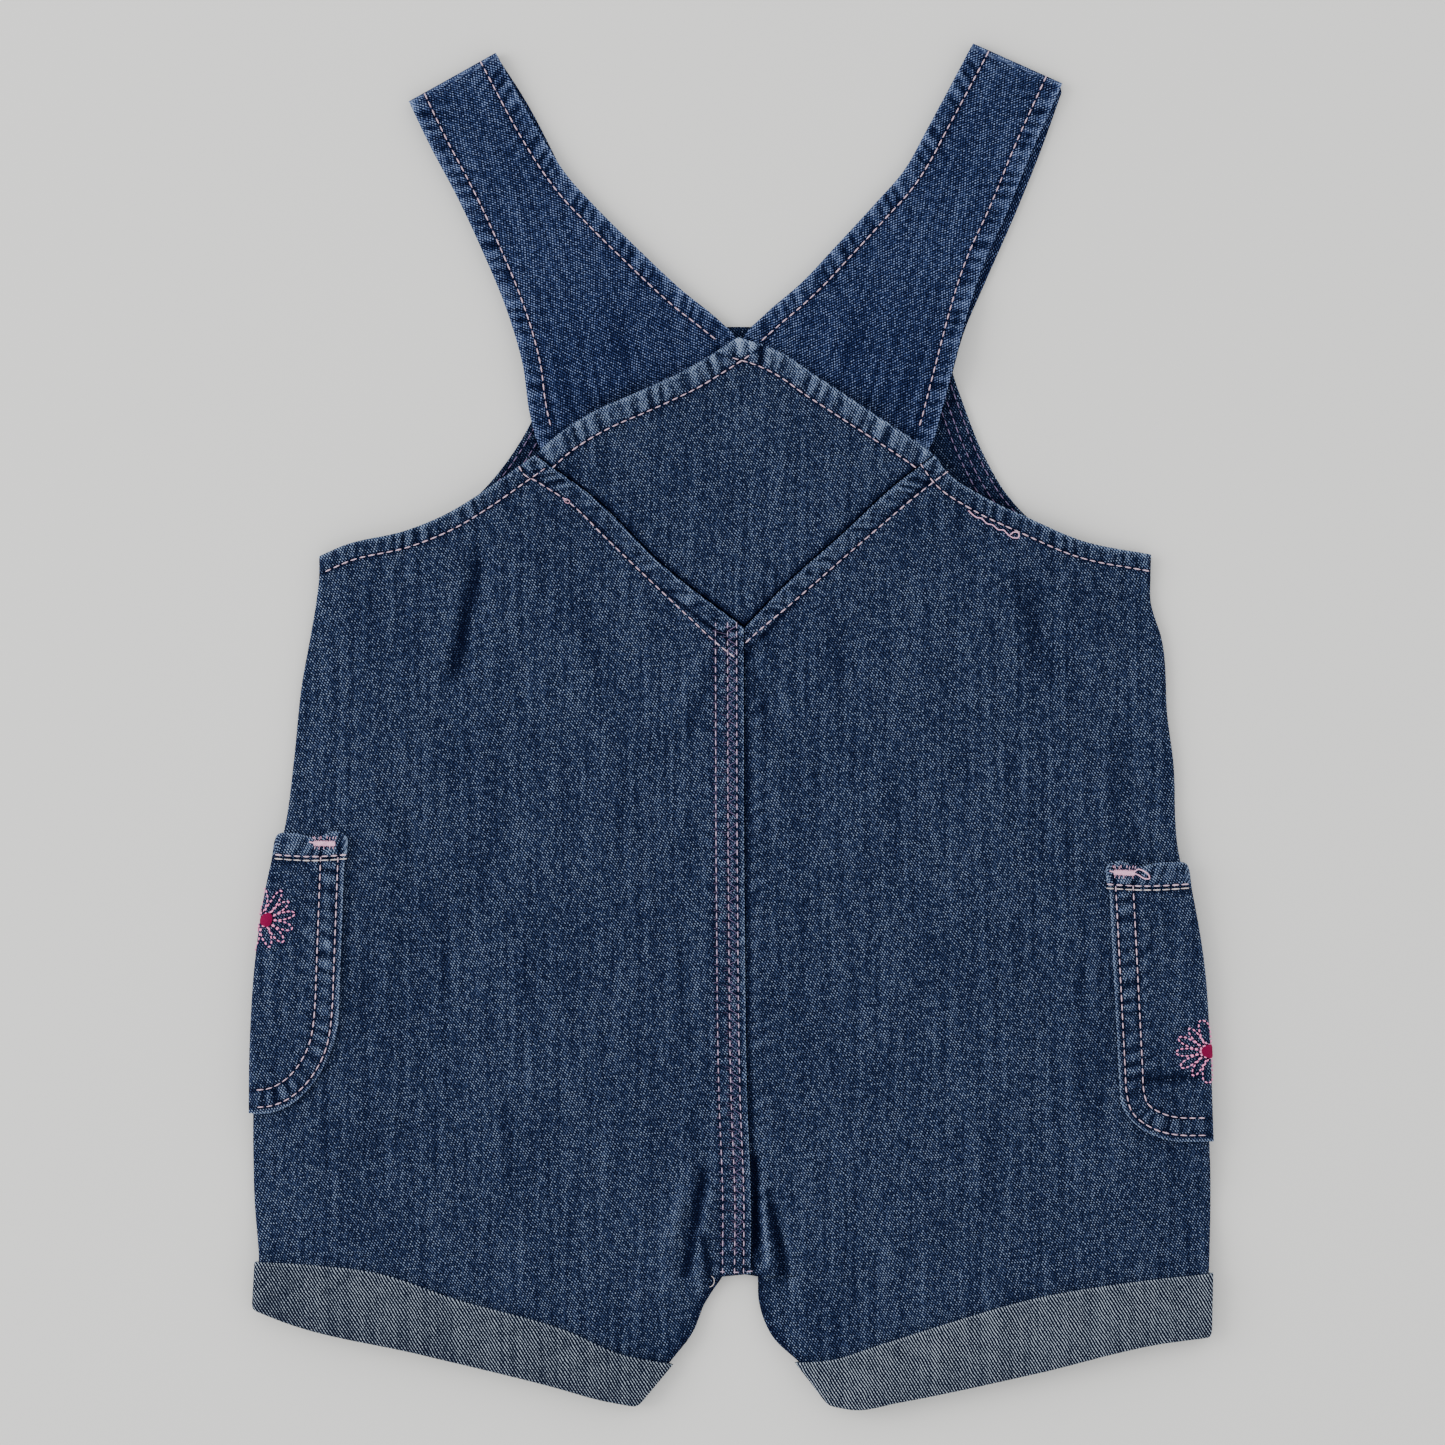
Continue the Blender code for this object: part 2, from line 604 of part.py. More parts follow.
def yoke_rows():
    """Rows of the back yoke, a diamond between its hemmed top edges and its lower seams."""
    gap = SEAM_GAP
    low_left = line_through([(x + gap, y + gap) for x, y in LEFT_YOKE_SEAM[:-1]] + [(3.75, 30.2)])
    low_right = line_through([(x - gap, y + gap) for x, y in RIGHT_YOKE_SEAM[:-1]] + [(3.75, 30.2)])
    top_left = line_through([low_left(0.0), *YOKE_LEFT_TOP[1:]])
    top_right = line_through([low_right(0.0), *YOKE_RIGHT_TOP[1:]])
    plan = patch(
        lambda u: top_left(1 - u),
        lambda u: low_right(u),
        lambda v: top_right(1 - v),
        lambda v: low_left(v),
    )
    shares = [0.0, 0.062, 0.072, 0.17, 0.28, 0.40, 0.52, 0.64, 0.76, 0.88, 1.0]
    rows = []
    for v in shares:
        row = []
        for u in shares:
            x, y = plan(u, v)
            hem = HEM_RISE if min(u, v) < 0.065 else 0.0
            z = yoke_height(x, y)
            row.append(((x, y, z + hem), (x, y, z - WALL)))
        rows.append(row)
    return rows


def strap_height(x, y):
    """The height of a strap's upper face on the back."""
    return FLAT_HEIGHT + bib_lift(x, y, 4.0)


def yoke_height(x, y):
    """The height of the yoke's upper face, over the straps' ends."""
    return FLAT_HEIGHT + LAYER + 0.1 + bib_lift(x, y, 8.0)


def strap_rows(side):
    """Rows across a strap, from under the yoke, over the shoulder and down the front to its end."""
    left = side == "left"
    outer_edge = line_through(LEFT_STRAP_OUTER if left else RIGHT_STRAP_OUTER)
    inner_edge = line_through(LEFT_STRAP_INNER if left else RIGHT_STRAP_INNER)
    front = line_through(LEFT_STRAP_FRONT if left else RIGHT_STRAP_FRONT)
    fold_a, fold_b = outer_edge(1.0), inner_edge(1.0)
    fold_along = (fold_b - fold_a) / np.hypot(*(fold_b - fold_a))
    fold_out = np.array([-fold_along[1], fold_along[0]])
    if fold_out[1] < 0:
        fold_out = -fold_out
    hem = STRAP_HEM / STRAP_WIDTH
    shares = (0.0, hem, hem + 0.02, 0.36, 0.5, 0.64, 1 - hem - 0.02, 1 - hem, 1.0)
    hemmed = [s <= hem or s >= 1 - hem for s in shares]
    rise = 0.35
    back_steps = [0.0, 0.05, 0.1] + [0.1 + 0.885 * k / 14 for k in range(1, 15)]
    rows = []
    for step in back_steps:
        a, b = outer_edge(step), inner_edge(step)
        width = float(np.hypot(*(b - a)))
        row = []
        for share, edge in zip(shares, hemmed):
            s = share
            if share < 0.3:
                s = share * STRAP_WIDTH / width
            elif share > 0.7:
                s = 1 - (1 - share) * STRAP_WIDTH / width
            x, y = a + (b - a) * s
            z = strap_height(x, y)
            row.append(((x, y, z + (rise if edge and step > 0.11 else 0.0)), (x, y, z - WALL)))
        rows.append(row)
    for angle in (72.0, 40.0, 0.0, -40.0, -90.0):
        row = []
        for share in shares:
            base = fold_a + (fold_b - fold_a) * share
            pair = []
            for skin, radius in ((0.0, FOLD_RADIUS), (WALL, FOLD_RADIUS - WALL)):
                t, z = arc(angle, 1.0, FOLD_RADIUS, radius)
                x, y = base - fold_out * (t + skin)
                pair.append((x, y, z))
            row.append(tuple(pair))
        rows.append(row)
    for share_down in STRAP_FRONT_ROWS:
        centre = front(share_down)
        ahead = front(min(share_down + 0.02, 1.0)) - front(max(share_down - 0.02, 0.0))
        across = np.array([-ahead[1], ahead[0]]) / np.hypot(*ahead)
        if across @ fold_along < 0:
            across = -across
        turn = smooth(share_down / 0.2)
        across = fold_along * (1 - turn) + across * turn
        across /= np.hypot(*across)
        row = []
        for share in shares:
            x, y = centre + across * STRAP_WIDTH * (share - 0.5)
            z = button_lift(x, y)
            row.append(((x, y, z), (x, y, z + WALL)))
        rows.append(row)
    return rows


def bib_rows():
    """Rows of the bib, from its top edge down to the waist seam."""
    left_side = line_through(LEFT_BIB_SIDE[::-1])
    right_side = line_through(RIGHT_BIB_SIDE[::-1])

    def waist(share):
        x = float(np.interp(share, [0.0, 0.5, 1.0], [row[0] for row in WAIST_SEAM]))
        return np.array([x, waist_y(x)])

    top = line_through([LEFT_BIB_SIDE[-1], RIGHT_BIB_SIDE[-1]])
    plan = patch(top, waist, left_side, right_side)
    rows = []
    for v in (0.0, 0.035, 0.07, 0.1, 0.14, 0.18, 0.22, 0.27, 0.34, 0.45, 0.6, 0.8, 1.0):
        row = []
        for u in [k / 22 for k in range(23)]:
            x, y = plan(u, v)
            z = bib_lift(x, y)
            row.append(((x, y, z), (x, y, z + WALL)))
        rows.append(row)
    return rows


def button(side):
    """A flat round button under a strap's end."""
    bx, by = BUTTONS[side]
    mesh = bmesh.new()
    bmesh.ops.create_cone(mesh, cap_ends=True, segments=24, radius1=BUTTON_RADIUS * MM,
                          radius2=BUTTON_RADIUS * MM, depth=BUTTON_THICK * MM)
    bmesh.ops.translate(mesh, verts=mesh.verts,
                        vec=((bx + SHIFT_X) * MM, (by + SHIFT_Y) * MM, BUTTON_THICK * MM / 2))
    return keep(f"button_{side}", mesh, BUTTON_METAL)


def clear_scene():
    for obj in list(bpy.data.objects):
        bpy.data.objects.remove(obj)


clear_scene()
GARMENT = bpy.data.collections.new("shortalls")
bpy.context.scene.collection.children.link(GARMENT)

for side in ("left", "right"):
    shell(f"back_{side}", body_panel(side, "back"), DENIM)
    shell(f"front_{side}", body_panel(side, "front"), DENIM)
    shell(f"cuff_{side}", cuff_ring(side), DENIM_REVERSE, closed=True)
    shell(f"pocket_{side}", pocket_rows(side), DENIM)
    shell(f"strap_{side}", strap_rows(side), DENIM)
    button(side)
shell("back_yoke", yoke_rows(), DENIM)
shell("bib", bib_rows(), DENIM)
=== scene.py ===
"""Baby's denim shortalls laid out on their front, seen from straight above.

Lengths are in millimetres until the meshes are made.
"""

import math
from functools import partial

import bmesh
import bpy
import numpy as np
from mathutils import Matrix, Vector
from mathutils.bvhtree import BVHTree


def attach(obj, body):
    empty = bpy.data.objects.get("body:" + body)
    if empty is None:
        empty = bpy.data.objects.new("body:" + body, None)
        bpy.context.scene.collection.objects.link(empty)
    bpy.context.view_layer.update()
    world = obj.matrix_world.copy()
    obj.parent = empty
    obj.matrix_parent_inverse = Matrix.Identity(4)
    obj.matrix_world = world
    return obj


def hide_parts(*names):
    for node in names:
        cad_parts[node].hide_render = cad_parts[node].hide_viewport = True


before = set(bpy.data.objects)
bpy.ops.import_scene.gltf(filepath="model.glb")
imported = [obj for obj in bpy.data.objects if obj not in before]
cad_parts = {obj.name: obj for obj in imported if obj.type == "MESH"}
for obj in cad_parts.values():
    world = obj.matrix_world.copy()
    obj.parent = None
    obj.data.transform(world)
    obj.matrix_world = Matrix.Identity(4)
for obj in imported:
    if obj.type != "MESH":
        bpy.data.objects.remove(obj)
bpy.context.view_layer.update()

MM = 0.001
SHIFT = np.array([0.1, -0.2, 0.0])
COARSE = 1.0
CAMERA_HEIGHT = 1.8
FRAME_WIDTH = 0.4335

SIDES = ("left", "right")
# The sign of x on each side. Beside an edge it also says on which side of its run the cloth lies
SIGN = {"left": -1.0, "right": 1.0}

# Cloth and seams, as in the part
WALL = 1.0
SEAM_GAP = 0.3
LAY_GAP = 0.35
LAYER = WALL + LAY_GAP
FOLD_RADIUS = 1.3
# The faces of a folded wall. Columns: distance from the fold's outside, radius
FOLD_SKINS = ((0.0, FOLD_RADIUS), (WALL, FOLD_RADIUS - WALL))
FLAT_HEIGHT = 2 * FOLD_RADIUS
PUFF = 1.3
HEM_RISE = 0.5
CENTRE_SEAM = 8.0
STRAP_WIDTH = 29.4
LEG_END = 0.82
# Painted shade: how much darker the cloth is along the legs' inner edges
INSEAM_PAINTED_SHADE = -0.17

# Rows of stitches, and their distances from the edges
STITCH_PITCH = 2.7
ARMHOLE_ROW = 5.0
VEE_ROW = 5.6
YOKE_ROW = 6.4
STRAP_ROW = 5.3
BIB_ROWS = (1.6, 4.4, 6.9)
CENTRE_ROWS = (2.1, 4.8, 8.4)
POCKET_ROWS = (1.9, 7.1)

# Breaks in a panel's inner edge: the yoke's point, the crotch, the leg's start, the cuff's top
PANEL_V = (0.30, 0.88, 0.90, 1.0)
CROTCH_TURN_V = PANEL_V[2]
# Rows of a panel's grid. Columns: first v, last v, length, pace
PANEL_SPANS = ((0.0, 0.06, 13, 0.6), (0.06, 0.30, 50, 1.4), (0.30, 0.88, 193, 1.45), (0.90, 1.0, 30, 1.4))
# The turn of a cuff's lower edge. Columns: share of the height, how far the outside and the inside fall back
CUFF_TURN = ((LEG_END + 0.035, 0.0, 0.0), (0.90, 0.04, 0.0), (0.94, 0.15, 0.0), (0.97, 0.32, 0.1),
             (0.99, 0.62, 0.4), (1.0, 1.0, 0.8))

# Side edges of the body. Columns: y, x
SIDE_ROWS = {
    "left": ((51, -123.6), (44, -123.7), (38, -124.4), (26, -126.4), (14, -128.6), (-10, -131.2),
             (-28, -133.4), (-46, -137.8), (-70, -141.4), (-94, -143), (-118, -143.3), (-142, -143),
             (-160.4, -141.6), (-175, -142.5)),
    "right": ((51.5, 125.8), (44, 125.6), (38, 125.6), (26, 129), (2, 130.8), (-10, 132.4), (-37, 133.8),
              (-52, 137.2), (-70, 140.2), (-94, 142), (-118, 142.9), (-142, 143.6), (-163.8, 143),
              (-183, 142.6)),
}
# Edges and seams. Columns: x, y
ARMHOLE = {
    "left": ((-123.6, 51), (-116.3, 54.2), (-97.2, 58.8), (-85.7, 63.5), (-74.3, 70.4), (-63.5, 78),
             (-58.9, 81.2)),
    "right": ((125.8, 51.5), (104.7, 55.7), (89.4, 62.2), (74.1, 69.5), (64.2, 76.4), (60.9, 81.2)),
}
YOKE_SEAM = {
    "left": ((-58.9, 81.2), (-41.8, 68.9), (-20.8, 48.4), (3.6, 29.6)),
    "right": ((60.9, 81.2), (50.3, 73.4), (32.7, 57.2), (17.4, 43.6), (3.9, 29.6)),
}
YOKE_TOP = {
    "left": ((-57.9, 81.4), (-53, 86.6), (-40.9, 94.3), (-28.5, 99.8), (-13.2, 107), (2, 116.5)),
    "right": ((59.9, 81.4), (54.5, 85.8), (40.4, 95), (25.1, 105), (13.6, 112.6), (2, 116.5)),
}
INSEAM = {
    "left": ((-2.7, -164.9), (-8.2, -173.2), (-11.3, -180.9), (-18.8, -190.8)),
    "right": ((7.9, -164.9), (8.2, -172.4), (12.2, -182.6), (20.3, -190.4)),
}
CUFF_TOP = {
    "left": ((-141.6, -160.4), (-124.7, -161.2), (-107.6, -163.2), (-81.8, -171.5), (-48.2, -181.2),
             (-33.8, -187.6), (-18.8, -190.8)),
    "right": ((143, -163.8), (118.7, -166.4), (91.2, -171), (63.8, -178.8), (45.2, -184.7), (27.4, -190),
              (20.3, -190.4)),
}
CUFF_BOTTOM = {
    "left": ((-142.5, -175), (-134.9, -178), (-93.2, -187.9), (-53.9, -197.5), (-36.8, -202.2),
             (-29.4, -203.6)),
    "right": ((142.6, -183), (128, -184.9), (91.2, -193.6), (50, -202.3), (36.6, -204.6), (30.2, -203.6)),
}
STRAP_OUTER = {
    "left": ((-55.6, 80.6), (-57.2, 83.2), (-60.2, 92.5), (-62.6, 108.6), (-67.1, 124), (-74.9, 143),
             (-82.5, 159.2), (-90.2, 173.7), (-96.8, 187.4)),
    "right": ((57.6, 80.6), (59.6, 84), (63.2, 95.6), (67, 110.2), (70, 121.6), (75.4, 138.4), (82.4, 153.8),
              (89.2, 170.6), (99.2, 192.8)),
}
STRAP_INNER = {
    "left": ((1.2, 108.2), (1.1, 116.6), (-2.9, 120.9), (-15.2, 131), (-28.9, 143.9), (-40.4, 155.3),
             (-48.8, 164.5), (-56.5, 176), (-70.7, 202)),
    "right": ((2.6, 108.2), (3.9, 117), (9.7, 123.2), (21.1, 133.1), (31.9, 144.6), (42.6, 156.2),
              (51.8, 166.8), (58.6, 179), (72.4, 204.8)),
}
STRAP_FRONT = {
    "left": ((-83.7, 194.7), (-73.6, 178.8), (-63, 158.4), (-52.3, 139.8), (-43.4, 121.8), (-38.9, 108)),
    "right": ((86.5, 198.8), (78.6, 176.8), (71.2, 158.6), (63.2, 140.4), (55.6, 122.4), (51.6, 108)),
}
BIB_SIDE = {
    "left": ((-122.6, 50), (-97, 57.4), (-85.7, 62.2), (-75.4, 70), (-67.8, 78.8), (-61.6, 88.4),
             (-55, 103.6), (-52.5, 119.8)),
    "right": ((124.8, 50.5), (104.7, 54.6), (90.4, 61.4), (82.4, 69.8), (75.4, 81.9), (69.4, 97), (66, 107),
              (64.4, 119.8)),
}
# The row of stitches round the yoke's point, in two halves
VEE = {
    "left": ((-63.6, 78.6), (-63, 76.5), (-58, 73.2), (-48.6, 67.1), (-38, 56.8), (-12.2, 32.2), (-4.4, 24.9),
             (0, 21.4)),
    "right": ((64, 75.8), (59.3, 72.3), (44.8, 60.2), (17.1, 36.1), (4.6, 25.4), (1.6, 22.4), (0.6, 21.5)),
}
WAIST_SEAM = ((-122.6, 50), (1.5, 24), (124.8, 50.5))
CENTRE_FRONT_X = 1.5
# Columns: y, x
CENTRE_EDGE = ((29.6, 3.6), (-52, 3.9), (-112, 4.7), (-142, 5.8), (-163.9, 5.7))
CROTCH_Y = -163.9

# Columns: top y, bottom y, inner edge's x at the top, at the bottom, corner's radius across, down
POCKETS = {"left": (-31.8, -115.8, -115.5, -118.6, 24, 34),
           "right": (-40.6, -124.2, 112.6, 116.9, 20, 15)}
POCKET_MOUTH = 1.1
BUTTON_RADIUS = 6.0
BUTTON_LIFT = 1.3
BUTTONS = {"left": (-40.3, 112.6), "right": (52.9, 112.6)}
# Bar-tacks at the pockets' upper corners. Columns: side, x0, y0, x1, y1, half height
BAR_TACKS = (("left", -124.8, -34.9, -118.6, -35.1, 0.75), ("right", 114.4, -43.6, 120.4, -43.9, 0.75))
# Flowers. Columns: side, distance round from the side line, y, radius up and down, reach inward,
# first angle, distance round of the heart
FLOWERS = (("left", 0.9, -57.8, 9.4, 9, 0.2, 2), ("right", 0.6, -97.2, 9.4, 9.4, 0.45, 1))
PETALS = 13
# The share of the reach at which a petal starts, and the heart's half width and half height
PETAL_START = 0.21
HEART = (1.15, 1.95)

# Folds of the back, soft ridges (+) and troughs (-). Columns: x0, y0, x1, y1, half width, height
FOLDS = (
    (-72, 62, -84, 12, 5, -0.9), (-84, 56, -96, 10, 6, 0.8), (-84, 12, -88, -34, 7, -0.6),
    (88, 50, 94, 4, 8, -0.6), (108, 44, 112, 0, 7, 0.6), (-7, -138, -11.5, -172, 2.6, 1.7),
    (-11, -140, -16.5, -166, 2.8, -1.1), (11, -140, 11.5, -170, 2.4, 1.3), (12.5, -142, 16.5, -172, 2.8, -1),
    (-60, -60, -66, -150, 12, 0.5), (70, -70, 76, -150, 12, 0.5),
)
# Finer creases of the back, in the same columns and one more: the painted light (+) or painted shade (-)
# along the crease
CREASES = (
    (-7.4, -128, -14.4, -168, 1.3, -0.9, -0.42), (-6, -136, -9.6, -154, 0.9, 0.6, 0.2),
    (-10.6, -148, -9.8, -173, 1, 0.6, 0.2), (-8.4, -150, -6.8, -166, 0.9, -0.8, -0.36),
    (-14.6, -140, -20, -172, 2.2, 0.7, 0.1), (-11.5, -128, -21, -158, 2.2, 0.35, 0.1),
    (6.4, -124, 8.4, -160, 1.1, -1, -0.4), (8.8, -132, 11.2, -164, 1.1, 0.8, 0.26),
    (10.4, -136, 16.6, -168, 1.5, -0.9, -0.34), (13.6, -142, 19.8, -172, 1.7, 0.5, 0.14),
    (-5.6, 21, -12.4, -4, 1.4, -0.25, -0.12), (-8.6, 23, -18.4, 2, 1.5, 0.22, 0.09),
    (6.4, 20, 11.6, -6, 1.4, -0.25, -0.12), (9.4, 22, 18, 1, 1.5, 0.22, 0.09),
    (-75, 56, -83.6, 10, 2, -0.5, -0.34), (-80.5, 50, -87, 16, 2.2, 0.3, 0.1),
    (-71, 58, -79, 24, 2, 0.25, 0.06), (-96, 48, -101, 20, 2.6, -0.25, -0.05),
    (-53, 60, -58, 36, 2.2, -0.25, -0.05), (86, 50, 95, 10, 2.8, -0.35, -0.12),
    (76, 56, 79, 30, 2.2, 0.22, 0.05), (103, 46, 108, 22, 2.4, -0.25, -0.05),
    (-120, 30, -123, -12, 2.4, 0.25, 0.04), (121, 30, 124, -20, 2.4, 0.25, 0.04),
    (-12, -60, -15, -120, 2.6, -0.18, -0.03), (14, -70, 17, -128, 2.6, -0.18, -0.03),
    (-108, -60, -112, -140, 3.4, -0.25, -0.03), (104, -50, 107, -130, 3.4, -0.25, -0.03),
    (-40, -110, -46, -172, 3, 0.22, 0.03), (44, -100, 48, -170, 3, 0.22, 0.03),
)


def smooth(value):
    t = np.clip(value, 0.0, 1.0)
    return t * t * (3 - 2 * t)


def hermite(at, knots, slopes, where):
    """A smooth curve through knots at the places where, straight on past its ends."""
    where = np.asarray(where, float)
    inside = np.clip(where, at[0], at[-1])
    i = np.clip(np.searchsorted(at, inside) - 1, 0, len(at) - 2)
    span = at[i + 1] - at[i]
    t = (inside - at[i]) / span
    past = where - inside
    if knots.ndim == 2:
        span, t, past = span[..., None], t[..., None], past[..., None]
    ends = (2 * t**3 - 3 * t**2 + 1) * knots[i] + (3 * t**2 - 2 * t**3) * knots[i + 1]
    turn = (t**3 - 2 * t**2 + t) * slopes[i] + (t**3 - t**2) * slopes[i + 1]
    return ends + turn * span + np.where(past < 0, slopes[0], slopes[-1]) * past


def line_through(points):
    """A smooth curve through points, as a function of the share of its length."""
    knots = np.array(points, float)
    steps = np.linalg.norm(np.diff(knots, axis=0), axis=1)
    at = np.concatenate([[0], np.cumsum(steps)]) / steps.sum()
    slopes = np.gradient(knots, at, axis=0)
    return lambda share: hermite(at, knots, slopes, share)


def height_line(rows):
    """x as a smooth function of y, from rows of (y, x) that run down the garment."""
    ys, xs = np.array(rows, float)[::-1].T
    slopes = np.gradient(xs, ys)
    return lambda y: hermite(ys, xs, slopes, np.clip(y, ys[0], ys[-1]))


SIDE_X = {side: height_line(SIDE_ROWS[side]) for side in SIDES}
CENTRE_X = height_line(CENTRE_EDGE)


def waist_y(x):
    return np.interp(x, *np.array(WAIST_SEAM).T)


def past_box(x, y, low, high):
    """How far points lie outside a box in plan, 0 or less inside it."""
    dx = np.maximum(low[0] - x, x - high[0])
    dy = np.maximum(low[1] - y, y - high[1])
    return np.where((dx > 0) & (dy > 0), np.hypot(dx, dy), np.maximum(dx, dy))


def fade_out(distance, margin, length):
    return 1 - smooth((distance - margin) / length)


def pocket_width(side, y):
    top, bottom, x_top, x_bottom, _across, _down = POCKETS[side]
    inner = x_top + (x_bottom - x_top) * (top - y) / (top - bottom)
    return np.abs(SIDE_X[side](y) - inner)


def pocket_lift(x, y):
    lift = np.zeros(np.broadcast(x, y).shape)
    for side, (top, bottom, *_rest) in POCKETS.items():
        edge = SIDE_X[side](y)
        inner = edge - SIGN[side] * (pocket_width(side, y) + 4)
        low = (np.minimum(edge, inner) - 9 * (side == "left"), bottom)
        high = (np.maximum(edge, inner) + 9 * (side == "right"), top)
        lift = np.maximum(lift, LAYER * fade_out(past_box(x, y, low, high), 7, 11))
    return lift


def cuff_lift(x, y):
    left, right = (np.interp(x, *np.array(sorted(CUFF_TOP[side])).T) for side in SIDES)
    return LAYER * fade_out(y - np.where(x < CENTRE_FRONT_X, left, right), 6, 12)


def button_lift(x, y, margin=1.0):
    lift = np.zeros(np.broadcast(x, y).shape)
    for bx, by in BUTTONS.values():
        beyond = np.hypot(x - bx, y - by) - BUTTON_RADIUS
        lift = np.maximum(lift, BUTTON_LIFT * fade_out(beyond, margin, 7.5))
    return lift


def bib_lift(x, y, margin=1.5):
    lift = np.zeros(np.broadcast(x, y).shape)
    for bx, _by in BUTTONS.values():
        low = (bx - STRAP_WIDTH / 2 - 1, 107.0)
        high = (bx + STRAP_WIDTH / 2 + 1, 120.5)
        lift = np.maximum(lift, LAYER * fade_out(past_box(x, y, low, high), margin, 8.5))
    return lift + button_lift(x, y, margin * 1.6 - 0.4)


def under(x, y):
    """The height of the fronts' lower face over the table."""
    return np.maximum(np.maximum(pocket_lift(x, y), cuff_lift(x, y)), bib_lift(x, y))


def crease(x, y, x0, y0, x1, y1, half_width):
    """A soft line's share of full height at each point."""
    length = math.hypot(x1 - x0, y1 - y0)
    way_x, way_y = (x1 - x0) / length, (y1 - y0) / length
    share = ((x - x0) * way_x + (y - y0) * way_y) / length
    off = (y - y0) * way_x - (x - x0) * way_y
    bend = half_width * 0.5 * np.sin(share * 5.0 + x0)
    ends = smooth(share / 0.25) * smooth((1 - share) / 0.2)
    return ends * np.exp(-(((off - bend * 0.4) / half_width) ** 2))


def back_height(x, y, from_side, from_inner):
    """The height of the back's upper face. The distances are to the folded edges beside the points."""
    puff = PUFF * smooth((from_side - FOLD_RADIUS) / 26) * smooth((from_inner - FOLD_RADIUS) / 14)
    calm = smooth((np.minimum(from_side, from_inner) - FOLD_RADIUS) / 5)
    folds = sum(height * crease(x, y, *place) for *place, height in FOLDS)
    return under(x, y) + FLAT_HEIGHT + np.maximum(puff + folds * calm, 0.0)


def patch(top, bottom, side, inner):
    """A Coons patch: plan points from an array u (side to inner edge) and one v (top to bottom)."""

    def point(u, v):
        w = np.asarray(u, float)[..., None]
        ruled = (1 - w) * side(v) + w * inner(v) + (1 - v) * top(u) + v * bottom(u)
        corners = (1 - w) * ((1 - v) * side(0.0) + v * side(1.0))
        corners = corners + w * ((1 - v) * inner(0.0) + v * inner(1.0))
        return ruled - corners

    return point


def chained(pieces):
    """One edge made of several curves, each used up to its break in v."""

    def point(v):
        start = 0.0
        for piece, end in zip(pieces, PANEL_V):
            if v <= end or end == PANEL_V[-1]:
                return piece((v - start) / (end - start))
            start = end

    return point


def stretch_of(x_at, shift, y_high, y_low):
    """A stretch of an edge between two heights."""
    return lambda share: np.array([float(x_at(y_high + (y_low - y_high) * share)) + shift,
                                   y_high + (y_low - y_high) * share])


def body_plans(side, lay):
    """Plan functions of one body panel: down to the cuff's top, and over the cuff."""
    edge, sign = SIDE_X[side], SIGN[side]
    top_y = SIDE_ROWS[side][0][0]
    if lay == "front":
        top_y = float(waist_y(edge(top_y))) - SEAM_GAP
        x = CENTRE_FRONT_X + sign * SEAM_GAP / 2
        end = float(edge(top_y)) - sign

        def top(share):
            wx = end + (x - end) * np.asarray(share, float)
            return np.stack([wx, waist_y(wx) - SEAM_GAP], axis=-1)

        upper = line_through([top(1.0), (x, -5.0)])
        centre = line_through([(x, -5.0), (x, CROTCH_Y)])
    else:
        top = line_through(ARMHOLE[side])
        upper = line_through(YOKE_SEAM[side])
        centre = stretch_of(CENTRE_X, SEAM_GAP * (side == "right"), YOKE_SEAM[side][-1][1], CROTCH_Y)
    heights = (top_y, 8.0, -150.0, -152.0, CUFF_TOP[side][0][1])
    sides = chained([stretch_of(edge, 0.0, *pair) for pair in zip(heights, heights[1:])])
    turn = line_through([centre(1.0), INSEAM[side][0]])
    inner = chained([upper, centre, turn, line_through(INSEAM[side])])
    top_line, bottom_line = line_through(CUFF_TOP[side]), line_through(CUFF_BOTTOM[side])
    return patch(top, top_line, sides, inner), lambda u, v: (1 - v) * top_line(u) + v * bottom_line(u)


def arc(angle, up, mid, radius):
    a = np.radians(angle)
    return radius * (1 - np.cos(a)), mid + up * radius * np.sin(a)


def along(line, x, y):
    """Distance along a line of points, and signed distance from it (left of its run is plus)."""
    line = np.asarray(line, float)
    seg = np.diff(line, axis=0)
    length = np.hypot(seg[:, 0], seg[:, 1])
    start = np.concatenate([[0], np.cumsum(length)[:-1]])
    p = np.stack([np.ravel(x), np.ravel(y)], axis=1)
    best, run, sign = np.full(len(p), 1e9), np.zeros(len(p)), np.ones(len(p))
    for k in range(len(seg)):
        rel = p - line[k]
        t = (rel @ seg[k]) / length[k] ** 2
        if k > 0:
            t = np.maximum(t, 0)
        if k < len(seg) - 1:
            t = np.minimum(t, 1)
        off = rel - t[:, None] * seg[k]
        d = np.hypot(off[:, 0], off[:, 1])
        near = d < best
        best[near] = d[near]
        run[near] = (start[k] + t * length[k])[near]
        sign[near] = np.sign(seg[k][0] * rel[:, 1] - seg[k][1] * rel[:, 0])[near]
    return run.reshape(np.shape(x)), (sign * best).reshape(np.shape(x))


def sampled(points, step=2.5):
    """A smooth line through points, as points a step apart."""
    curve = line_through(points)
    rough = curve(np.linspace(0, 1, 200))
    total = np.linalg.norm(np.diff(rough, axis=0), axis=1).sum()
    return curve(np.linspace(0, 1, max(int(total / step), 2) + 1))


def offset(line, distance):
    """A line moved sideways, to its left for a plus distance."""
    line = np.asarray(line, float)
    way = np.gradient(line, axis=0)
    way /= np.linalg.norm(way, axis=1)[:, None]
    return line + distance * np.stack([-way[:, 1], way[:, 0]], axis=1)


def clipped(line, start, end):
    """A line without a length at its start and at its end."""
    line = np.asarray(line, float)
    at = np.concatenate([[0], np.cumsum(np.linalg.norm(np.diff(line, axis=0), axis=1))])
    want = np.linspace(start, at[-1] - end, max(int((at[-1] - start - end) / 1.5), 2))
    return np.stack([np.interp(want, at, line[:, k]) for k in range(line.shape[1])], axis=1)


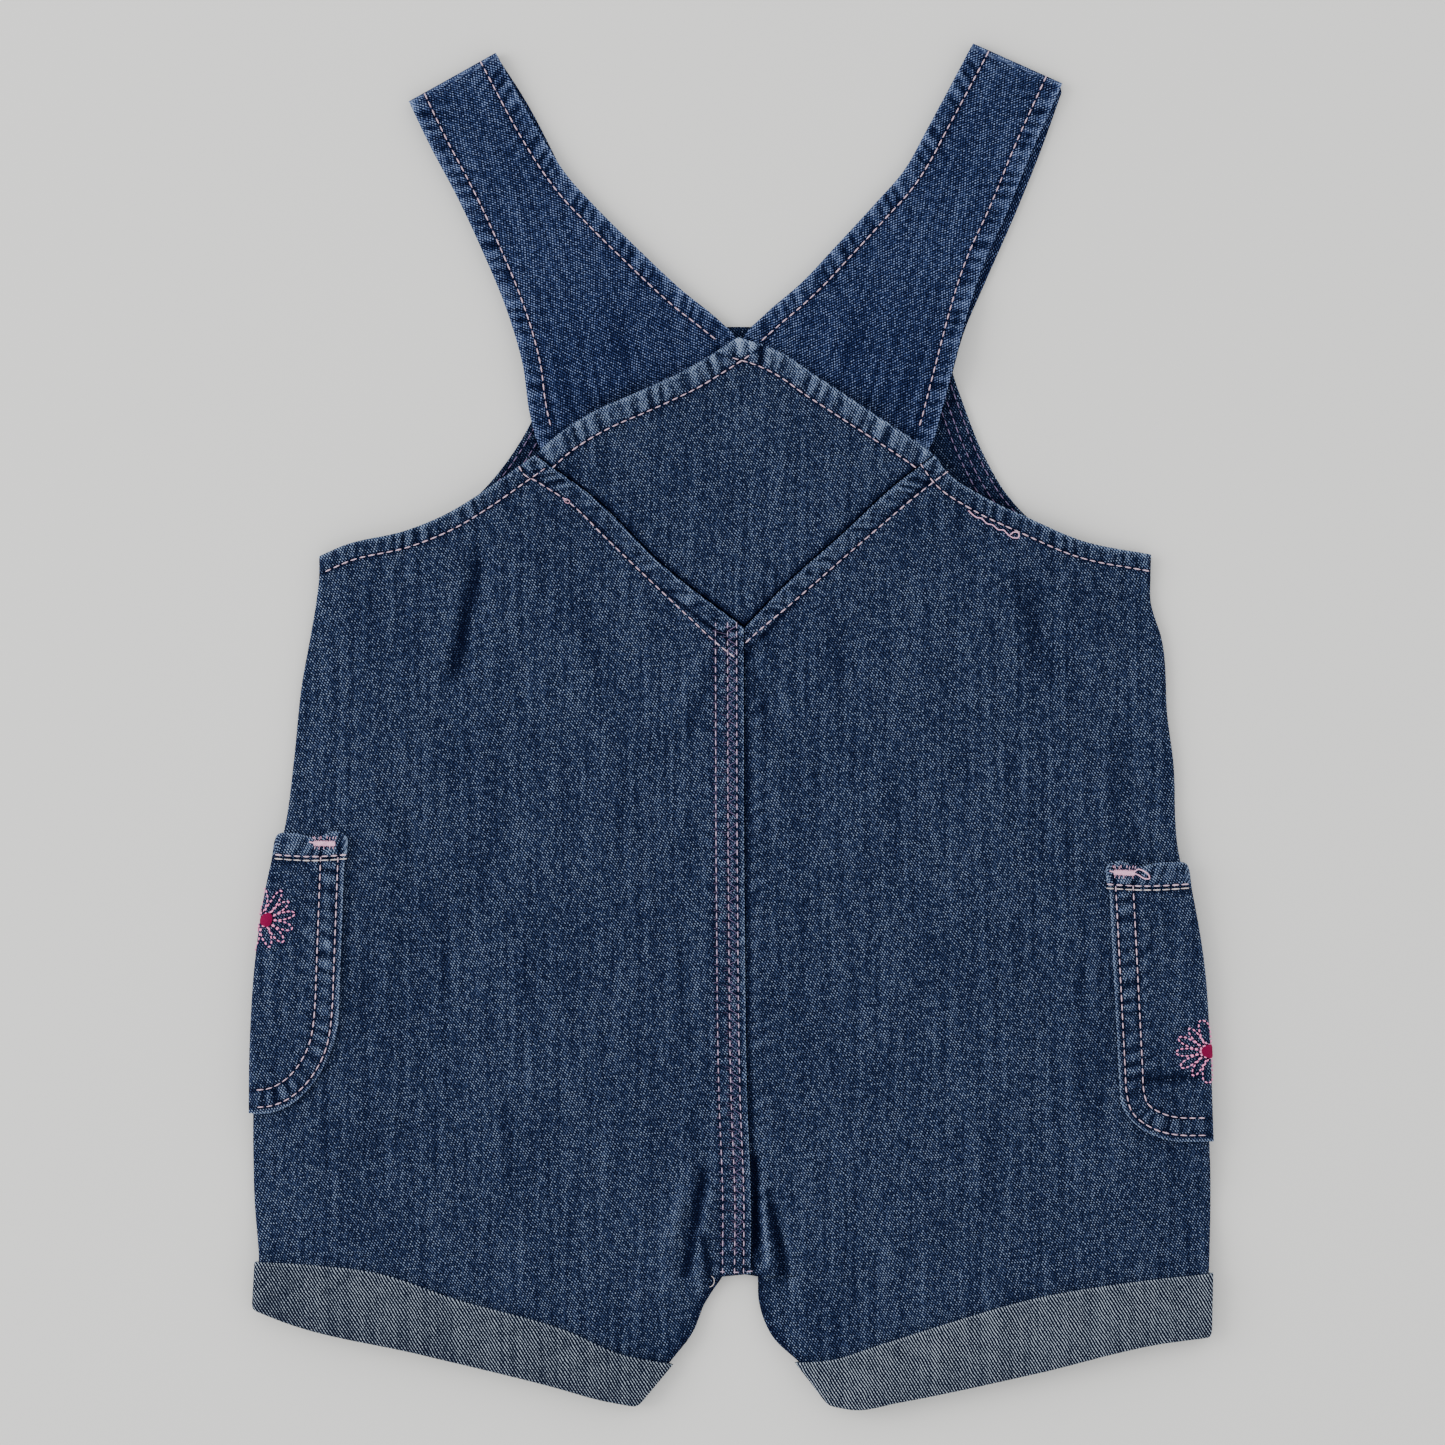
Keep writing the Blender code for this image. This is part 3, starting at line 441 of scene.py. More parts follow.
def ripple(run, wave, seed):
    """An uneven wave along a seam, from -1 to 1, with its valleys narrower than its ridges."""
    turn = 2 * np.pi * run / wave + 1.1 * np.sin(2 * np.pi * run / (3.7 * wave) + seed) + 2.1 * seed
    wave_here = np.tanh(1.7 * np.sin(turn) + 0.35)
    return wave_here * (0.75 + 0.35 * np.sin(2 * np.pi * run / (5.3 * wave) + seed * 3.7))


def rolling(x, y, seed):
    """Low uneven waves of cloth that lies loosely."""
    return 0.10 * (np.sin(x / 9.0 + y / 31.0 + seed) + np.sin(x / 15.0 - y / 23.0 + 2 * seed)
                   + 0.6 * np.sin(x / 5.2 + y / 47.0 + 3 * seed))


def beside(line, x, y, reach, soft=0.7):
    """1 within reach of a line, 0 past it."""
    return smooth((reach - np.abs(along(line, x, y)[1])) / soft + 0.5)


class Relief:
    """The height and the tone that the sewing and the creases add to a grid of points."""

    def __init__(self, x, y, height=0.0, tone=0.0):
        self.x, self.y = x, y
        self.height = np.zeros(np.shape(x)) + height
        self.tone = np.full(np.shape(x), tone)

    def seams(self, way, *rows):
        """Puckered bands on the left (way 1) or the right (-1) of lines.

        Columns: line, moved by, from, to, wave, depth, tone, seed, slant. The tone follows the waves: their
        ridges lighter, as wear and as painted light, their valleys darker as painted shade.
        """
        for line, by, low, high, wave, depth, tone, seed, slant in rows:
            run, off = along(offset(line, by * way), self.x, self.y)
            off = off * way
            window = smooth((off - low) / 0.7 + 0.5) * smooth((high - off) / 0.7 + 0.5)
            wave_here = ripple(run + slant * np.abs(off), wave, seed)
            self.height += depth * wave_here * window
            # Painted light on the ridges, with their wear, and painted shade in the valleys
            self.tone += tone * wave_here * window

    def groove(self, line, depth=0.25, tone=-0.30, width=0.6):
        """The dent that a row of stitches pulls into the cloth, darkened by painted shade."""
        dent = np.exp(-((along(line, self.x, self.y)[1] / width) ** 2))
        self.height -= depth * dent
        # Painted shade in the dent
        self.tone += tone * dent

    def worn_edge(self, line, width, tone):
        """The pale line that wear leaves along a folded edge."""
        self.tone += tone * np.exp(-((along(line, self.x, self.y)[1] / width) ** 2))

    def crease(self, place, height, tone):
        share = crease(self.x, self.y, *place)
        self.height += height * share
        # The tone is painted light along a ridge and painted shade along a trough
        self.tone += tone * share


# Materials


def node(tree, kind, values=None, **settings):
    """A node with its settings. Its inputs are numbers, or sockets to link."""
    made = tree.nodes.new(kind)
    for key, value in settings.items():
        setattr(made, key, value)
    for key, value in (values or {}).items():
        if isinstance(value, bpy.types.NodeSocket):
            tree.links.new(value, made.inputs[key])
        else:
            made.inputs[key].default_value = value
    return made


def maths(tree, operation, *terms):
    return node(tree, "ShaderNodeMath", dict(enumerate(terms)), operation=operation).outputs[0]


def plain(name, colour, roughness=0.8, shine=0.5):
    material = bpy.data.materials.new(name)
    material.use_nodes = True
    surface = material.node_tree.nodes["Principled BSDF"]
    surface.inputs["Base Color"].default_value = (*colour, 1.0)
    surface.inputs["Roughness"].default_value = roughness
    surface.inputs["Specular IOR Level"].default_value = shine
    return material


def denim(name, stops, pitch, steep, twill, dots, streak, speck, mottle, base):
    """Denim: diagonal lines of yarn crossings of uneven colour, warp streaks, pale specks, and the tone
    attribute's wear, painted light and painted shade.
    """
    material = plain(name, (0.8, 0.8, 0.8), 0.95, 0.05)
    tree = material.node_tree
    calc = partial(maths, tree)
    uv = node(tree, "ShaderNodeUVMap", uv_map="grain")
    split = node(tree, "ShaderNodeSeparateXYZ", {0: uv.outputs[0]})
    u, v = split.outputs[0], split.outputs[1]

    def plane(a, b, scale_a=1.0, scale_b=1.0, shift=0.0):
        sides = {0: calc("MULTIPLY_ADD", a, scale_a, shift), 1: calc("MULTIPLY", b, scale_b)}
        return node(tree, "ShaderNodeCombineXYZ", sides).outputs[0]

    def noise(scale_u, scale_v, shift=0.0, detail=1.0):
        """Soft noise about 0."""
        values = {"Vector": plane(u, v, scale_u, scale_v, shift), "Scale": 1.0, "Detail": detail,
                  "Roughness": 0.5}
        made = node(tree, "ShaderNodeTexNoise", values, noise_dimensions="2D")
        return calc("SUBTRACT", made.outputs["Fac"], 0.5)

    size = math.hypot(steep, 1.0)
    across = calc("MULTIPLY_ADD", u, steep / size, calc("MULTIPLY", v, 1 / size))
    across = calc("MULTIPLY_ADD", noise(0.22, 0.22), 0.6, across)
    run = calc("MULTIPLY_ADD", v, -steep / size, calc("MULTIPLY", u, 1 / size))
    lines = calc("SINE", calc("MULTIPLY", across, 2 * math.pi / pitch))
    band = calc("FLOOR", calc("MULTIPLY", across, 2 / pitch))
    step = calc("FLOOR", calc("MULTIPLY_ADD", run, 2.3, calc("MULTIPLY", band, 0.37)))
    cell = node(tree, "ShaderNodeTexWhiteNoise", {"Vector": plane(band, step)}, noise_dimensions="2D")
    turn = calc("SUBTRACT", calc("FLOORED_MODULO", step, 2.0), 0.5)
    crossing = calc("MULTIPLY", cell.outputs["Value"], turn)
    flecks = calc("MAXIMUM", calc("SUBTRACT", noise(1.8, 1.5, 80.0, 0.0), 0.1), 0.0)
    tone = node(tree, "ShaderNodeAttribute", attribute_name="tone")
    value = calc("MULTIPLY_ADD", tone.outputs["Fac"], 1.35, base)
    for part, gain in ((lines, twill), (crossing, dots), (noise(1.7, 0.035, 0.0, 2.0), streak),
                       (noise(0.45, 0.02, 40.0, 2.0), streak), (flecks, speck),
                       (noise(0.035, 0.025, 20.0, 3.0), mottle)):
        value = calc("MULTIPLY_ADD", part, gain, value)
    ramp = node(tree, "ShaderNodeValToRGB", {0: value})
    elements = ramp.color_ramp.elements
    while len(elements) < len(stops):
        elements.new(0.5)
    for element, (place, colour) in zip(elements, stops):
        element.position = place
        element.color = (*colour, 1.0)
    heights = {"Strength": 0.5, "Distance": 0.0001, "Height": calc("ADD", lines, crossing)}
    bump = node(tree, "ShaderNodeBump", heights)
    surface = tree.nodes["Principled BSDF"]
    tree.links.new(ramp.outputs[0], surface.inputs["Base Color"])
    tree.links.new(bump.outputs[0], surface.inputs["Normal"])
    return material


# Columns: place on the ramp, colour
INDIGO = ((0.0, (0.0006, 0.0016, 0.0100)), (0.25, (0.0042, 0.0092, 0.0345)), (0.5, (0.0150, 0.0268, 0.0680)),
          (0.75, (0.052, 0.078, 0.158)), (1.0, (0.22, 0.29, 0.42)))
PALE = ((0.0, (0.0012, 0.0030, 0.0130)), (0.25, (0.012, 0.018, 0.036)), (0.5, (0.052, 0.064, 0.088)),
        (0.75, (0.155, 0.190, 0.242)), (1.0, (0.40, 0.465, 0.545)))
# The straps' cloth is a little bluer than the rest
DEEP_INDIGO = tuple((place, (0.90 * r, 0.93 * g, 1.10 * b)) for place, (r, g, b) in INDIGO)
DENIM = denim("denim", INDIGO, 0.67, 1.0, 0.45, 0.98, 0.38, 1.0, 0.11, 0.157)
DENIM_STRAP = denim("denim_strap", DEEP_INDIGO, 0.67, 1.0, 0.40, 1.00, 0.38, 1.1, 0.26, 0.180)
REVERSE = denim("denim_reverse", PALE, 0.80, 1.6, 1.10, 0.58, 0.40, 0.7, 0.18, -0.13)
THREAD = plain("thread", (0.60, 0.43, 0.54), 0.7)
CORD = plain("pale_thread", (0.62, 0.55, 0.56), 0.7)
LILAC = plain("lilac_thread", (0.44, 0.33, 0.47), 0.7)
UNDERTHREAD = plain("under_thread", (0.17, 0.12, 0.24), 0.8)
PINK = plain("pink_thread", (0.90, 0.27, 0.53), 0.6)
PINK_PALE = plain("pale_pink_thread", (0.80, 0.44, 0.62), 0.6)
CRIMSON = plain("crimson_thread", (0.20, 0.0004, 0.045), 0.8, 0.1)

# Cloth pieces

SURFACES = {}
STITCH_LINES = []


def cloth_piece(name, node_name, outer, inner, grain, tone, material=DENIM, closed=False):
    """A thin wall of cloth from grids of outer and inner points, in its node's place in the frame.

    A closed wall runs round each row. The surface is kept for the stitches.
    """
    rows, columns = outer.shape[:2]
    verts = (np.concatenate([outer.reshape(-1, 3), inner.reshape(-1, 3)]) + SHIFT) * MM
    index = np.arange(rows * columns).reshape(rows, columns)
    if closed:
        index = np.concatenate([index, index[:, :1]], axis=1)
    corners = (index[:-1, :-1], index[:-1, 1:], index[1:, 1:], index[1:, :-1])
    quads = np.stack(corners, axis=-1).reshape(-1, 4)
    sides = []
    for rim in [index[0], index[-1]] + ([] if closed else [index[:, 0], index[:, -1]]):
        low = rim + rows * columns
        sides.append(np.stack([rim[:-1], rim[1:], low[1:], low[:-1]], axis=-1))
    faces = np.concatenate([quads, quads[:, ::-1] + rows * columns, *sides])
    mesh = bpy.data.meshes.new(name)
    mesh.from_pydata(verts.tolist(), [], faces.tolist())
    fixer = bmesh.new()
    fixer.from_mesh(mesh)
    bmesh.ops.recalc_face_normals(fixer, faces=fixer.faces)
    fixer.to_mesh(mesh)
    fixer.free()
    loops = np.zeros(len(mesh.loops), int)
    mesh.loops.foreach_get("vertex_index", loops)
    uv = np.concatenate([grain.reshape(-1, 2)] * 2)[loops]
    mesh.uv_layers.new(name="grain").data.foreach_set("uv", uv.ravel().astype(np.float32))
    shade = mesh.attributes.new("tone", "FLOAT", "POINT")
    shade.data.foreach_set("value", np.concatenate([tone.ravel()] * 2).astype(np.float32))
    mesh.shade_smooth()
    mesh.set_sharp_from_angle(angle=math.radians(65))
    mesh.materials.append(material)
    obj = bpy.data.objects.new(name, mesh)
    bpy.context.scene.collection.objects.link(obj)
    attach(obj, "root")
    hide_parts(node_name)
    places = [v.co.copy() for v in mesh.vertices]
    SURFACES[name] = BVHTree.FromPolygons(places, [tuple(p.vertices) for p in mesh.polygons])
    return obj


ARM_LINE = {side: sampled(ARMHOLE[side]) for side in SIDES}
YOKE_LINE = {side: sampled(YOKE_SEAM[side]) for side in SIDES}


def back_detail(side, x, y):
    """The sewing and the finer creases of one back panel."""
    left, way = side == "left", SIGN[side]
    relief = Relief(x, y, rolling(x, y, 1.0 if left else 2.2))
    arm, vee = ARM_LINE[side], YOKE_LINE[side]
    relief.seams(way, (arm, 0, 0.4, 4.7, 3.7, 0.32, 0.20, 1.3, 0.35),
                 (vee, 0, 0.9, 5.3, 3.3, 0.34, 0.22, 2.7 if left else 4.1, 0.9),
                 (vee, 0, 0.9, 5.3, 8.6, 0.05, 0.08, 1.7, 0.9),
                 (arm, 5.6, 0, 4.0, 4.3, 0.10, 0.06, 5.6, 0.35),
                 (arm, 8.0, 0, 6.0, 7.4, 0.10, 0.05, 8.0, 0.35),
                 (vee, 6.2, 0, 4.0, 4.1, 0.10, 0.05, 3.3, 0.7))
    relief.groove(offset(arm, ARMHOLE_ROW * way))
    relief.groove(offset(vee, VEE_ROW * way))
    relief.worn_edge(arm, 0.9, 0.34)
    relief.worn_edge(offset(vee, 0.5 * way), 0.45, 0.30)
    ys = np.linspace(29.0, CROTCH_Y, 60)
    edge = np.stack([CENTRE_X(ys), ys], axis=1)
    if left:
        for start, end, seed in ((2.4, 4.6, 0.4), (5.1, 8.2, 1.9), (0.2, 1.8, 3.2)):
            relief.seams(-1, (edge, 0, start, end, STITCH_PITCH, 0.12, 0.19, seed, 0.3))
        for across in CENTRE_ROWS:
            relief.groove(edge - (across, 0), 0.25, -0.26, 0.5)
        relief.seams(-1, (edge, 0, 8.9, 12.5, 3.9, 0.10, 0.08, 5.0, 0.5))
        relief.worn_edge(edge, 0.45, 0.30)
    else:
        # A dent beside the felled seam's edge, darkened as its painted shadow
        relief.groove(edge + (0.8, 0), 0.25, -0.22, 0.9)
        relief.seams(1, (edge, 0, 1.5, 6.5, 4.4, 0.12, 0.09, 5.0, 0.5))
    for *place, height, tone in CREASES:
        relief.crease(place, height, tone)
    return relief


def body_panel(side, lay):
    """The grids of one back or front panel."""
    body, cuff = body_plans(side, lay)
    back = lay == "back"
    if back:
        up, turns, middle, rim_step = 1.0, 15 if side == "left" else 13, int(118 / (1.45 * COARSE)), 1.1
        near, beyond = np.arange(1.0, 14.0, 1.2 * COARSE), np.arange(0.5, 15.0, 1.2 * COARSE)
    else:
        up, turns, middle, rim_step = -1.0, 4, 8, 6.0
        near, beyond = np.array([8.0, 20.0, 33.0, 39.0, 45.0]), np.array([4.0, 12.0, 20.0])
    angles = np.linspace(6.5, 90.0, 7 if back else 4)
    shares = [np.linspace(start, end, max(int(length / (pace * COARSE if back else 5.0)), 4) + 1)
              for start, end, length, pace in PANEL_SPANS]
    rows = [(body, v, v, v >= CROTCH_TURN_V) for v in np.unique(np.concatenate(shares))]
    rows += [(cuff, share, 1.0, True) for share in (0.2, 0.4, 0.6, LEG_END)]
    outer, inner, lift, dark = [], [], [], []
    for plan, v, row_v, legs in rows:
        length = float(np.hypot(*(plan(np.array(1.0), v) - plan(np.array(0.0), v))))
        first = FOLD_RADIUS + near
        if legs:
            last = length - (FOLD_RADIUS + 0.6 + rim_step * np.arange(len(beyond))[::-1])
        else:
            last = length - (CENTRE_SEAM + beyond[::-1])
        t = np.concatenate([first, np.linspace(first[-1], last[0], middle + 2)[1:-1], last])
        if not legs:
            t = np.concatenate([t, length - CENTRE_SEAM * np.linspace(1, 0, turns)])

        def folded(a, from_inner):
            mid = float(under(*plan(np.array(float(from_inner)), v))) + FOLD_RADIUS
            made = []
            for skin, radius in FOLD_SKINS:
                s, z = arc(a, up, mid, radius)
                s = (s + skin) / length
                made.append(np.column_stack([plan(1 - s if from_inner else s, v), z]))
            return made

        x, y = plan(t / length, v).T
        if back:
            clear = (length - t) + 70 * (1 - smooth((row_v - 0.80) / 0.10))
            z = back_height(x, y, t, clear)
        else:
            z = under(x, y)
        out, into = folded(angles, False)
        out, into = [out, np.column_stack([x, y, z])], [into, np.column_stack([x, y, z - up * WALL])]
        weight = [np.sin(np.radians(angles)), np.ones(len(t))]
        # Painted shade darkens the cloth along the legs' inner edges and over their folds
        shade = [np.zeros(len(angles)), INSEAM_PAINTED_SHADE * legs * np.exp(-(((length - t) / 2.4) ** 2))]
        if legs:
            leg_angles = np.linspace(90.0, 6.5, turns)
            for part, skin in zip((out, into), folded(leg_angles, True)):
                part.append(skin)
            weight.append(np.sin(np.radians(leg_angles)))
            shade.append(np.full(turns, INSEAM_PAINTED_SHADE))
        for grid, parts in ((outer, out), (inner, into), (lift, weight), (dark, shade)):
            grid.append(np.concatenate(parts))
    outer, inner, lift = np.array(outer), np.array(inner), np.array(lift)
    x, y = outer[..., 0], outer[..., 1]
    tone = np.zeros(x.shape)
    if back:
        relief = back_detail(side, x, y)
        tone = relief.tone + np.array(dark)
        rise = np.maximum(beside(ARM_LINE[side], x, y, 5.8), beside(YOKE_LINE[side], x, y, 5.5))
        if side == "left":
            felled = smooth((CENTRE_SEAM + 0.5 - (CENTRE_X(y) - x)) / 0.7 + 0.5) * smooth((34.0 - y) / 2.0)
            rise = np.maximum(rise, felled * (y > CROTCH_Y - 0.5))
        outer[..., 2] += (relief.height + HEM_RISE * rise) * lift
        inner[..., 2] += relief.height * lift
    return cloth_piece(f"{lay}_panel_{side}", f"{lay}_{side}", outer, inner, outer[..., :2].copy(), tone)


def yoke_piece():
    low, top = {}, {}
    for side in SIDES:
        inset = -SIGN[side] * SEAM_GAP
        points = [(x + inset, y + SEAM_GAP) for x, y in YOKE_SEAM[side][:-1]]
        low[side] = line_through(points + [(3.75, 30.2)])
        top[side] = line_through([low[side](0.0), *YOKE_TOP[side][1:]])
    plan = patch(lambda u: top["left"](1 - u), low["right"], lambda v: top["right"](1 - v), low["left"])
    hem_share = 10.0 / 82.0
    near = np.linspace(0, hem_share, int(18 / COARSE))
    shares = np.concatenate([near, np.linspace(hem_share, 1, int(58 / COARSE))[1:]])
    grid = np.array([plan(shares, v) for v in shares])
    x, y = grid[..., 0], grid[..., 1]
    relief = Relief(x, y, rolling(x, y, 4.0) * 0.8)
    rise = np.zeros(x.shape)
    for side, seed in (("left", 0.8), ("right", 2.4)):
        way, line = SIGN[side], sampled([top[side](s) for s in np.linspace(0, 1, 9)])
        relief.seams(way, (line, 0, 0.5, 6.1, 4.1, 0.36, 0.24, seed, 0.25),
                     (line, 0, 0.2, 5.0, 9.5, 0.08, 0.12, seed + 1.0, 0.25),
                     (line, 7.0, 0, 4.5, 3.1, 0.10, 0.08, seed, 0.6))
        relief.groove(offset(line, YOKE_ROW * way))
        relief.worn_edge(line, 1.3, 0.30)
        relief.worn_edge(offset(line, 3.0 * way), 2.6, 0.10)
        rise = np.maximum(rise, beside(line, x, y, 6.9, 0.8))
        STITCH_LINES.append(("yoke_piece", clipped(offset(line, YOKE_ROW * way), 1.5, 1.0)))
    for side in SIDES:
        line = YOKE_LINE[side]
        off = along(line, x, y)[1]
        dip = np.exp(-((off / 2.0) ** 2))
        relief.height -= 0.35 * dip
        # Painted shadow along the back panels' edge, in the dip beside it
        relief.tone -= 0.30 * np.exp(-((off / 1.1) ** 2)) + 0.08 * dip
        relief.seams(-SIGN[side], (line, 0, 1.2, 6.5, 5.0, 0.12, 0.06, 1.1, 0.8))
    z = FLAT_HEIGHT + LAYER + 0.1 + bib_lift(x, y, 8.0) + relief.height
    outer = np.stack([x, y, z + HEM_RISE * rise], axis=-1)
    inner = np.stack([x, y, z - WALL], axis=-1)
    return cloth_piece("yoke_piece", "back_yoke", outer, inner, grid, relief.tone)


def strap_piece(side):
    """The grids of a strap, from under the yoke, over the shoulder and down the front to its end."""
    tables = (STRAP_OUTER, STRAP_INNER, STRAP_FRONT)
    outer_edge, inner_edge, front = (line_through(table[side]) for table in tables)
    fold_a, fold_b = outer_edge(1.0), inner_edge(1.0)
    fold_along = (fold_b - fold_a) / np.hypot(*(fold_b - fold_a))
    fold_out = np.array([-fold_along[1], fold_along[0]])
    fold_out = fold_out if fold_out[1] > 0 else -fold_out
    edge_share = np.linspace(0, 0.22, int(13 / COARSE))
    between = np.linspace(0.22, 0.78, int(16 / COARSE))[1:-1]
    share = np.concatenate([edge_share, between, 1 - edge_share[::-1]])
    outer, inner, grain, mask = [], [], [], []

    def add(out, into, width, run, shown):
        """One row: its outer and inner points, its width and run in the grain, how far its relief shows."""
        outer.append(np.column_stack(out))
        inner.append(np.column_stack(into))
        grain.append(np.column_stack([share * width, np.full(len(share), run)]))
        mask.append(shown)

    for step in np.linspace(0, 0.985, int(115 / (0.85 * COARSE))):
        a, b = outer_edge(step), inner_edge(step)
        xy = a + (b - a) * share[:, None]
        z = FLAT_HEIGHT + bib_lift(*xy.T, 4.0)
        run = step * 120
        add((xy, z), (xy, z - WALL), np.hypot(*(b - a)), run, 1.0)
    fold_row = len(outer) + 1
    for angle in np.linspace(78, -90, 12):
        pair = []
        for skin, radius in FOLD_SKINS:
            t, z = arc(angle, 1.0, FOLD_RADIUS, radius)
            xy = fold_a + (fold_b - fold_a) * share[:, None] - fold_out * (t + skin)
            pair.append((xy, np.full(len(share), z)))
        run += 0.4
        add(*pair, 32, run, max(math.sin(math.radians(angle)), 0.0))
    for down in np.linspace(0.03, 1, int(95 / (2.4 * COARSE))):
        ahead = front(min(down + 0.02, 1.0)) - front(max(down - 0.02, 0.0))
        across = np.array([-ahead[1], ahead[0]]) / np.hypot(*ahead)
        across = across if across @ fold_along > 0 else -across
        turn = float(smooth(down / 0.2))
        across = fold_along * (1 - turn) + across * turn
        across /= np.hypot(*across)
        xy = front(down) + across * STRAP_WIDTH * (share[:, None] - 0.5)
        z = button_lift(*xy.T)
        add((xy, z), (xy, z + WALL), STRAP_WIDTH, run + down * 95, 0.0)
    outer, inner, grain = np.array(outer), np.array(inner), np.array(grain)
    mask = np.array(mask)[:, None]
    x, y = outer[..., 0], outer[..., 1]
    relief = Relief(x, y, rolling(x, y, 5.0 if side == "left" else 6.5))
    rise = np.zeros(x.shape)
    name = f"strap_piece_{side}"
    for edge, way, seed in ((outer_edge, SIGN[side], 0.3), (inner_edge, -SIGN[side], 1.7)):
        line = sampled([edge(s) for s in np.linspace(0.0, 1.0, 14)])
        relief.seams(way, (line, 0, 0.4, 5.0, 4.0, 0.32, 0.20, seed, 0.4),
                     (line, 0, 0.4, 5.0, 11.0, 0.05, 0.08, seed + 2.0, 0.4),
                     (line, 5.9, 0, 4.5, 4.6, 0.12, 0.07, seed + 1.0, 0.6))
        relief.groove(offset(line, STRAP_ROW * way))
        relief.worn_edge(line, 0.9, 0.34)
        rise = np.maximum(rise, beside(line, x, y, 5.6, 0.8))
        STITCH_LINES.append((name, clipped(offset(line, STRAP_ROW * way), 9.0, 1.0)))
    rows = np.arange(len(mask))[:, None]
    beyond = smooth((rows / len(mask) - 0.12) / 0.08)
    relief.tone += 0.30 * np.exp(-(((rows - fold_row) / 1.6) ** 2))
    outer[..., 2] += (relief.height + 0.35 * rise) * mask * (0.25 + 0.75 * beyond)
    return cloth_piece(name, f"strap_{side}", outer, inner, grain, relief.tone * mask, DENIM_STRAP)


def bib_piece():
    left_side, right_side = (line_through(BIB_SIDE[side][::-1]) for side in SIDES)

    def waist(share):
        x = np.interp(share, [0.0, 0.5, 1.0], [row[0] for row in WAIST_SEAM])
        return np.stack([x, waist_y(x)], axis=-1)

    plan = patch(line_through([BIB_SIDE[side][-1] for side in SIDES]), waist, left_side, right_side)
    us, vs = np.linspace(0, 1, int(130 / COARSE)), np.linspace(0, 1, int(60 / COARSE))
    grid = np.array([plan(us, v) for v in vs])
    x, y = grid[..., 0], grid[..., 1]
    z = bib_lift(x, y)
    # The bib is darkened all over as painted shade, for it lies under the back
    relief = Relief(x, y, 0.0, -0.12)
    for side in SIDES:
        way, line = SIGN[side], sampled(BIB_SIDE[side])
        for d in BIB_ROWS:
            row = offset(line, d * way)
            relief.groove(row, 0.12, -0.15)
            STITCH_LINES.append(("bib_piece", clipped(row, 6.0 + 3 * d, 2.0)))
        relief.worn_edge(line, 0.7, 0.20)
        relief.seams(way, (line, 0, 0.3, 6.4, 4.2, 0.10, 0.10, 1.1, 0.35))
    outer = np.stack([x, y, z], axis=-1)
    inner = np.stack([x, y, z + WALL + relief.height], axis=-1)
    return cloth_piece("bib_piece", "bib", outer, inner, grid, relief.tone)


def cuff_piece(side):
    """The grids of the turned-up cuff, each row running round the leg: inner leg, front, side, back."""
    cuff = body_plans(side, "back")[1]
    along_back = np.linspace(0.02, 0.98, int(125 / (1.3 * COARSE)))
    along_front = np.linspace(0.05, 0.95, 24)[::-1]
    ring = np.linspace(90, -90, 13)

    def row_at(share, skin):
        length = float(np.hypot(*(cuff(np.array(1.0), share) - cuff(np.array(0.0), share))))

        def turn(a, from_inner):
            mid = float(under(*cuff(np.array(float(from_inner)), share))) + FOLD_RADIUS
            t, z = arc(a, 1.0, mid, FOLD_RADIUS + skin)
            u = (t - skin) / length
            return np.column_stack([cuff(1 - u if from_inner else u, share), z])

        front, back = cuff(along_front, share), cuff(along_back, share)
        back_z = back_height(*back.T, along_back * length, (1 - along_back) * length) + skin
        return np.concatenate([turn(ring, True), np.column_stack([front, under(*front.T) - skin]),
                               turn(ring[::-1], False), np.column_stack([back, back_z])])

    skin = LAY_GAP + WALL
    levels = [(s, skin, LAY_GAP) for s in np.linspace(0, LEG_END + 0.03, int(16 / COARSE))]
    levels += [(share, skin - back, into - WALL) for share, back, into in CUFF_TURN]
    outer = np.array([row_at(share, out) for share, out, _into in levels])
    inner = np.array([row_at(share, into) for share, _out, into in levels])
    upward = np.maximum(np.sin(np.radians(ring)), 0)
    mask = np.concatenate([upward, np.zeros(len(along_front)), upward[::-1], np.ones(len(along_back))])
    x, y = outer[..., 0], outer[..., 1]
    top = sampled(CUFF_TOP[side])
    relief = Relief(x, y, rolling(x * 1.3, y * 1.3, 7.0))
    relief.worn_edge(top, 0.5, 0.20)
    relief.seams(SIGN[side], (top, 0.2, 0, 5.5, 9.0, 0.15, 0.03, 1.2, 0.9),
                 (top, 4.0, 0, 5.5, 13.0, 0.2, 0.04, 5.0, 0.9),
                 (top, 9.0, 0, 5.5, 11.0, 0.15, 0.03, 10.0, 0.9))
    if side == "left":
        relief.tone -= 0.04 * smooth((-100.0 - x) / 40.0) + 0.05
    share = np.array([level[0] for level in levels])[:, None]
    relief.tone -= 0.06 * smooth((share - 0.55) / 0.45)
    outer[..., 2] += relief.height * mask * (1 - smooth((share - 0.86) / 0.1))
    return cloth_piece(f"cuff_piece_{side}", f"cuff_{side}", outer, inner, outer[..., :2].copy(),
                       relief.tone, REVERSE, closed=True)


QUARTER_TURN = FOLD_RADIUS * math.pi / 2


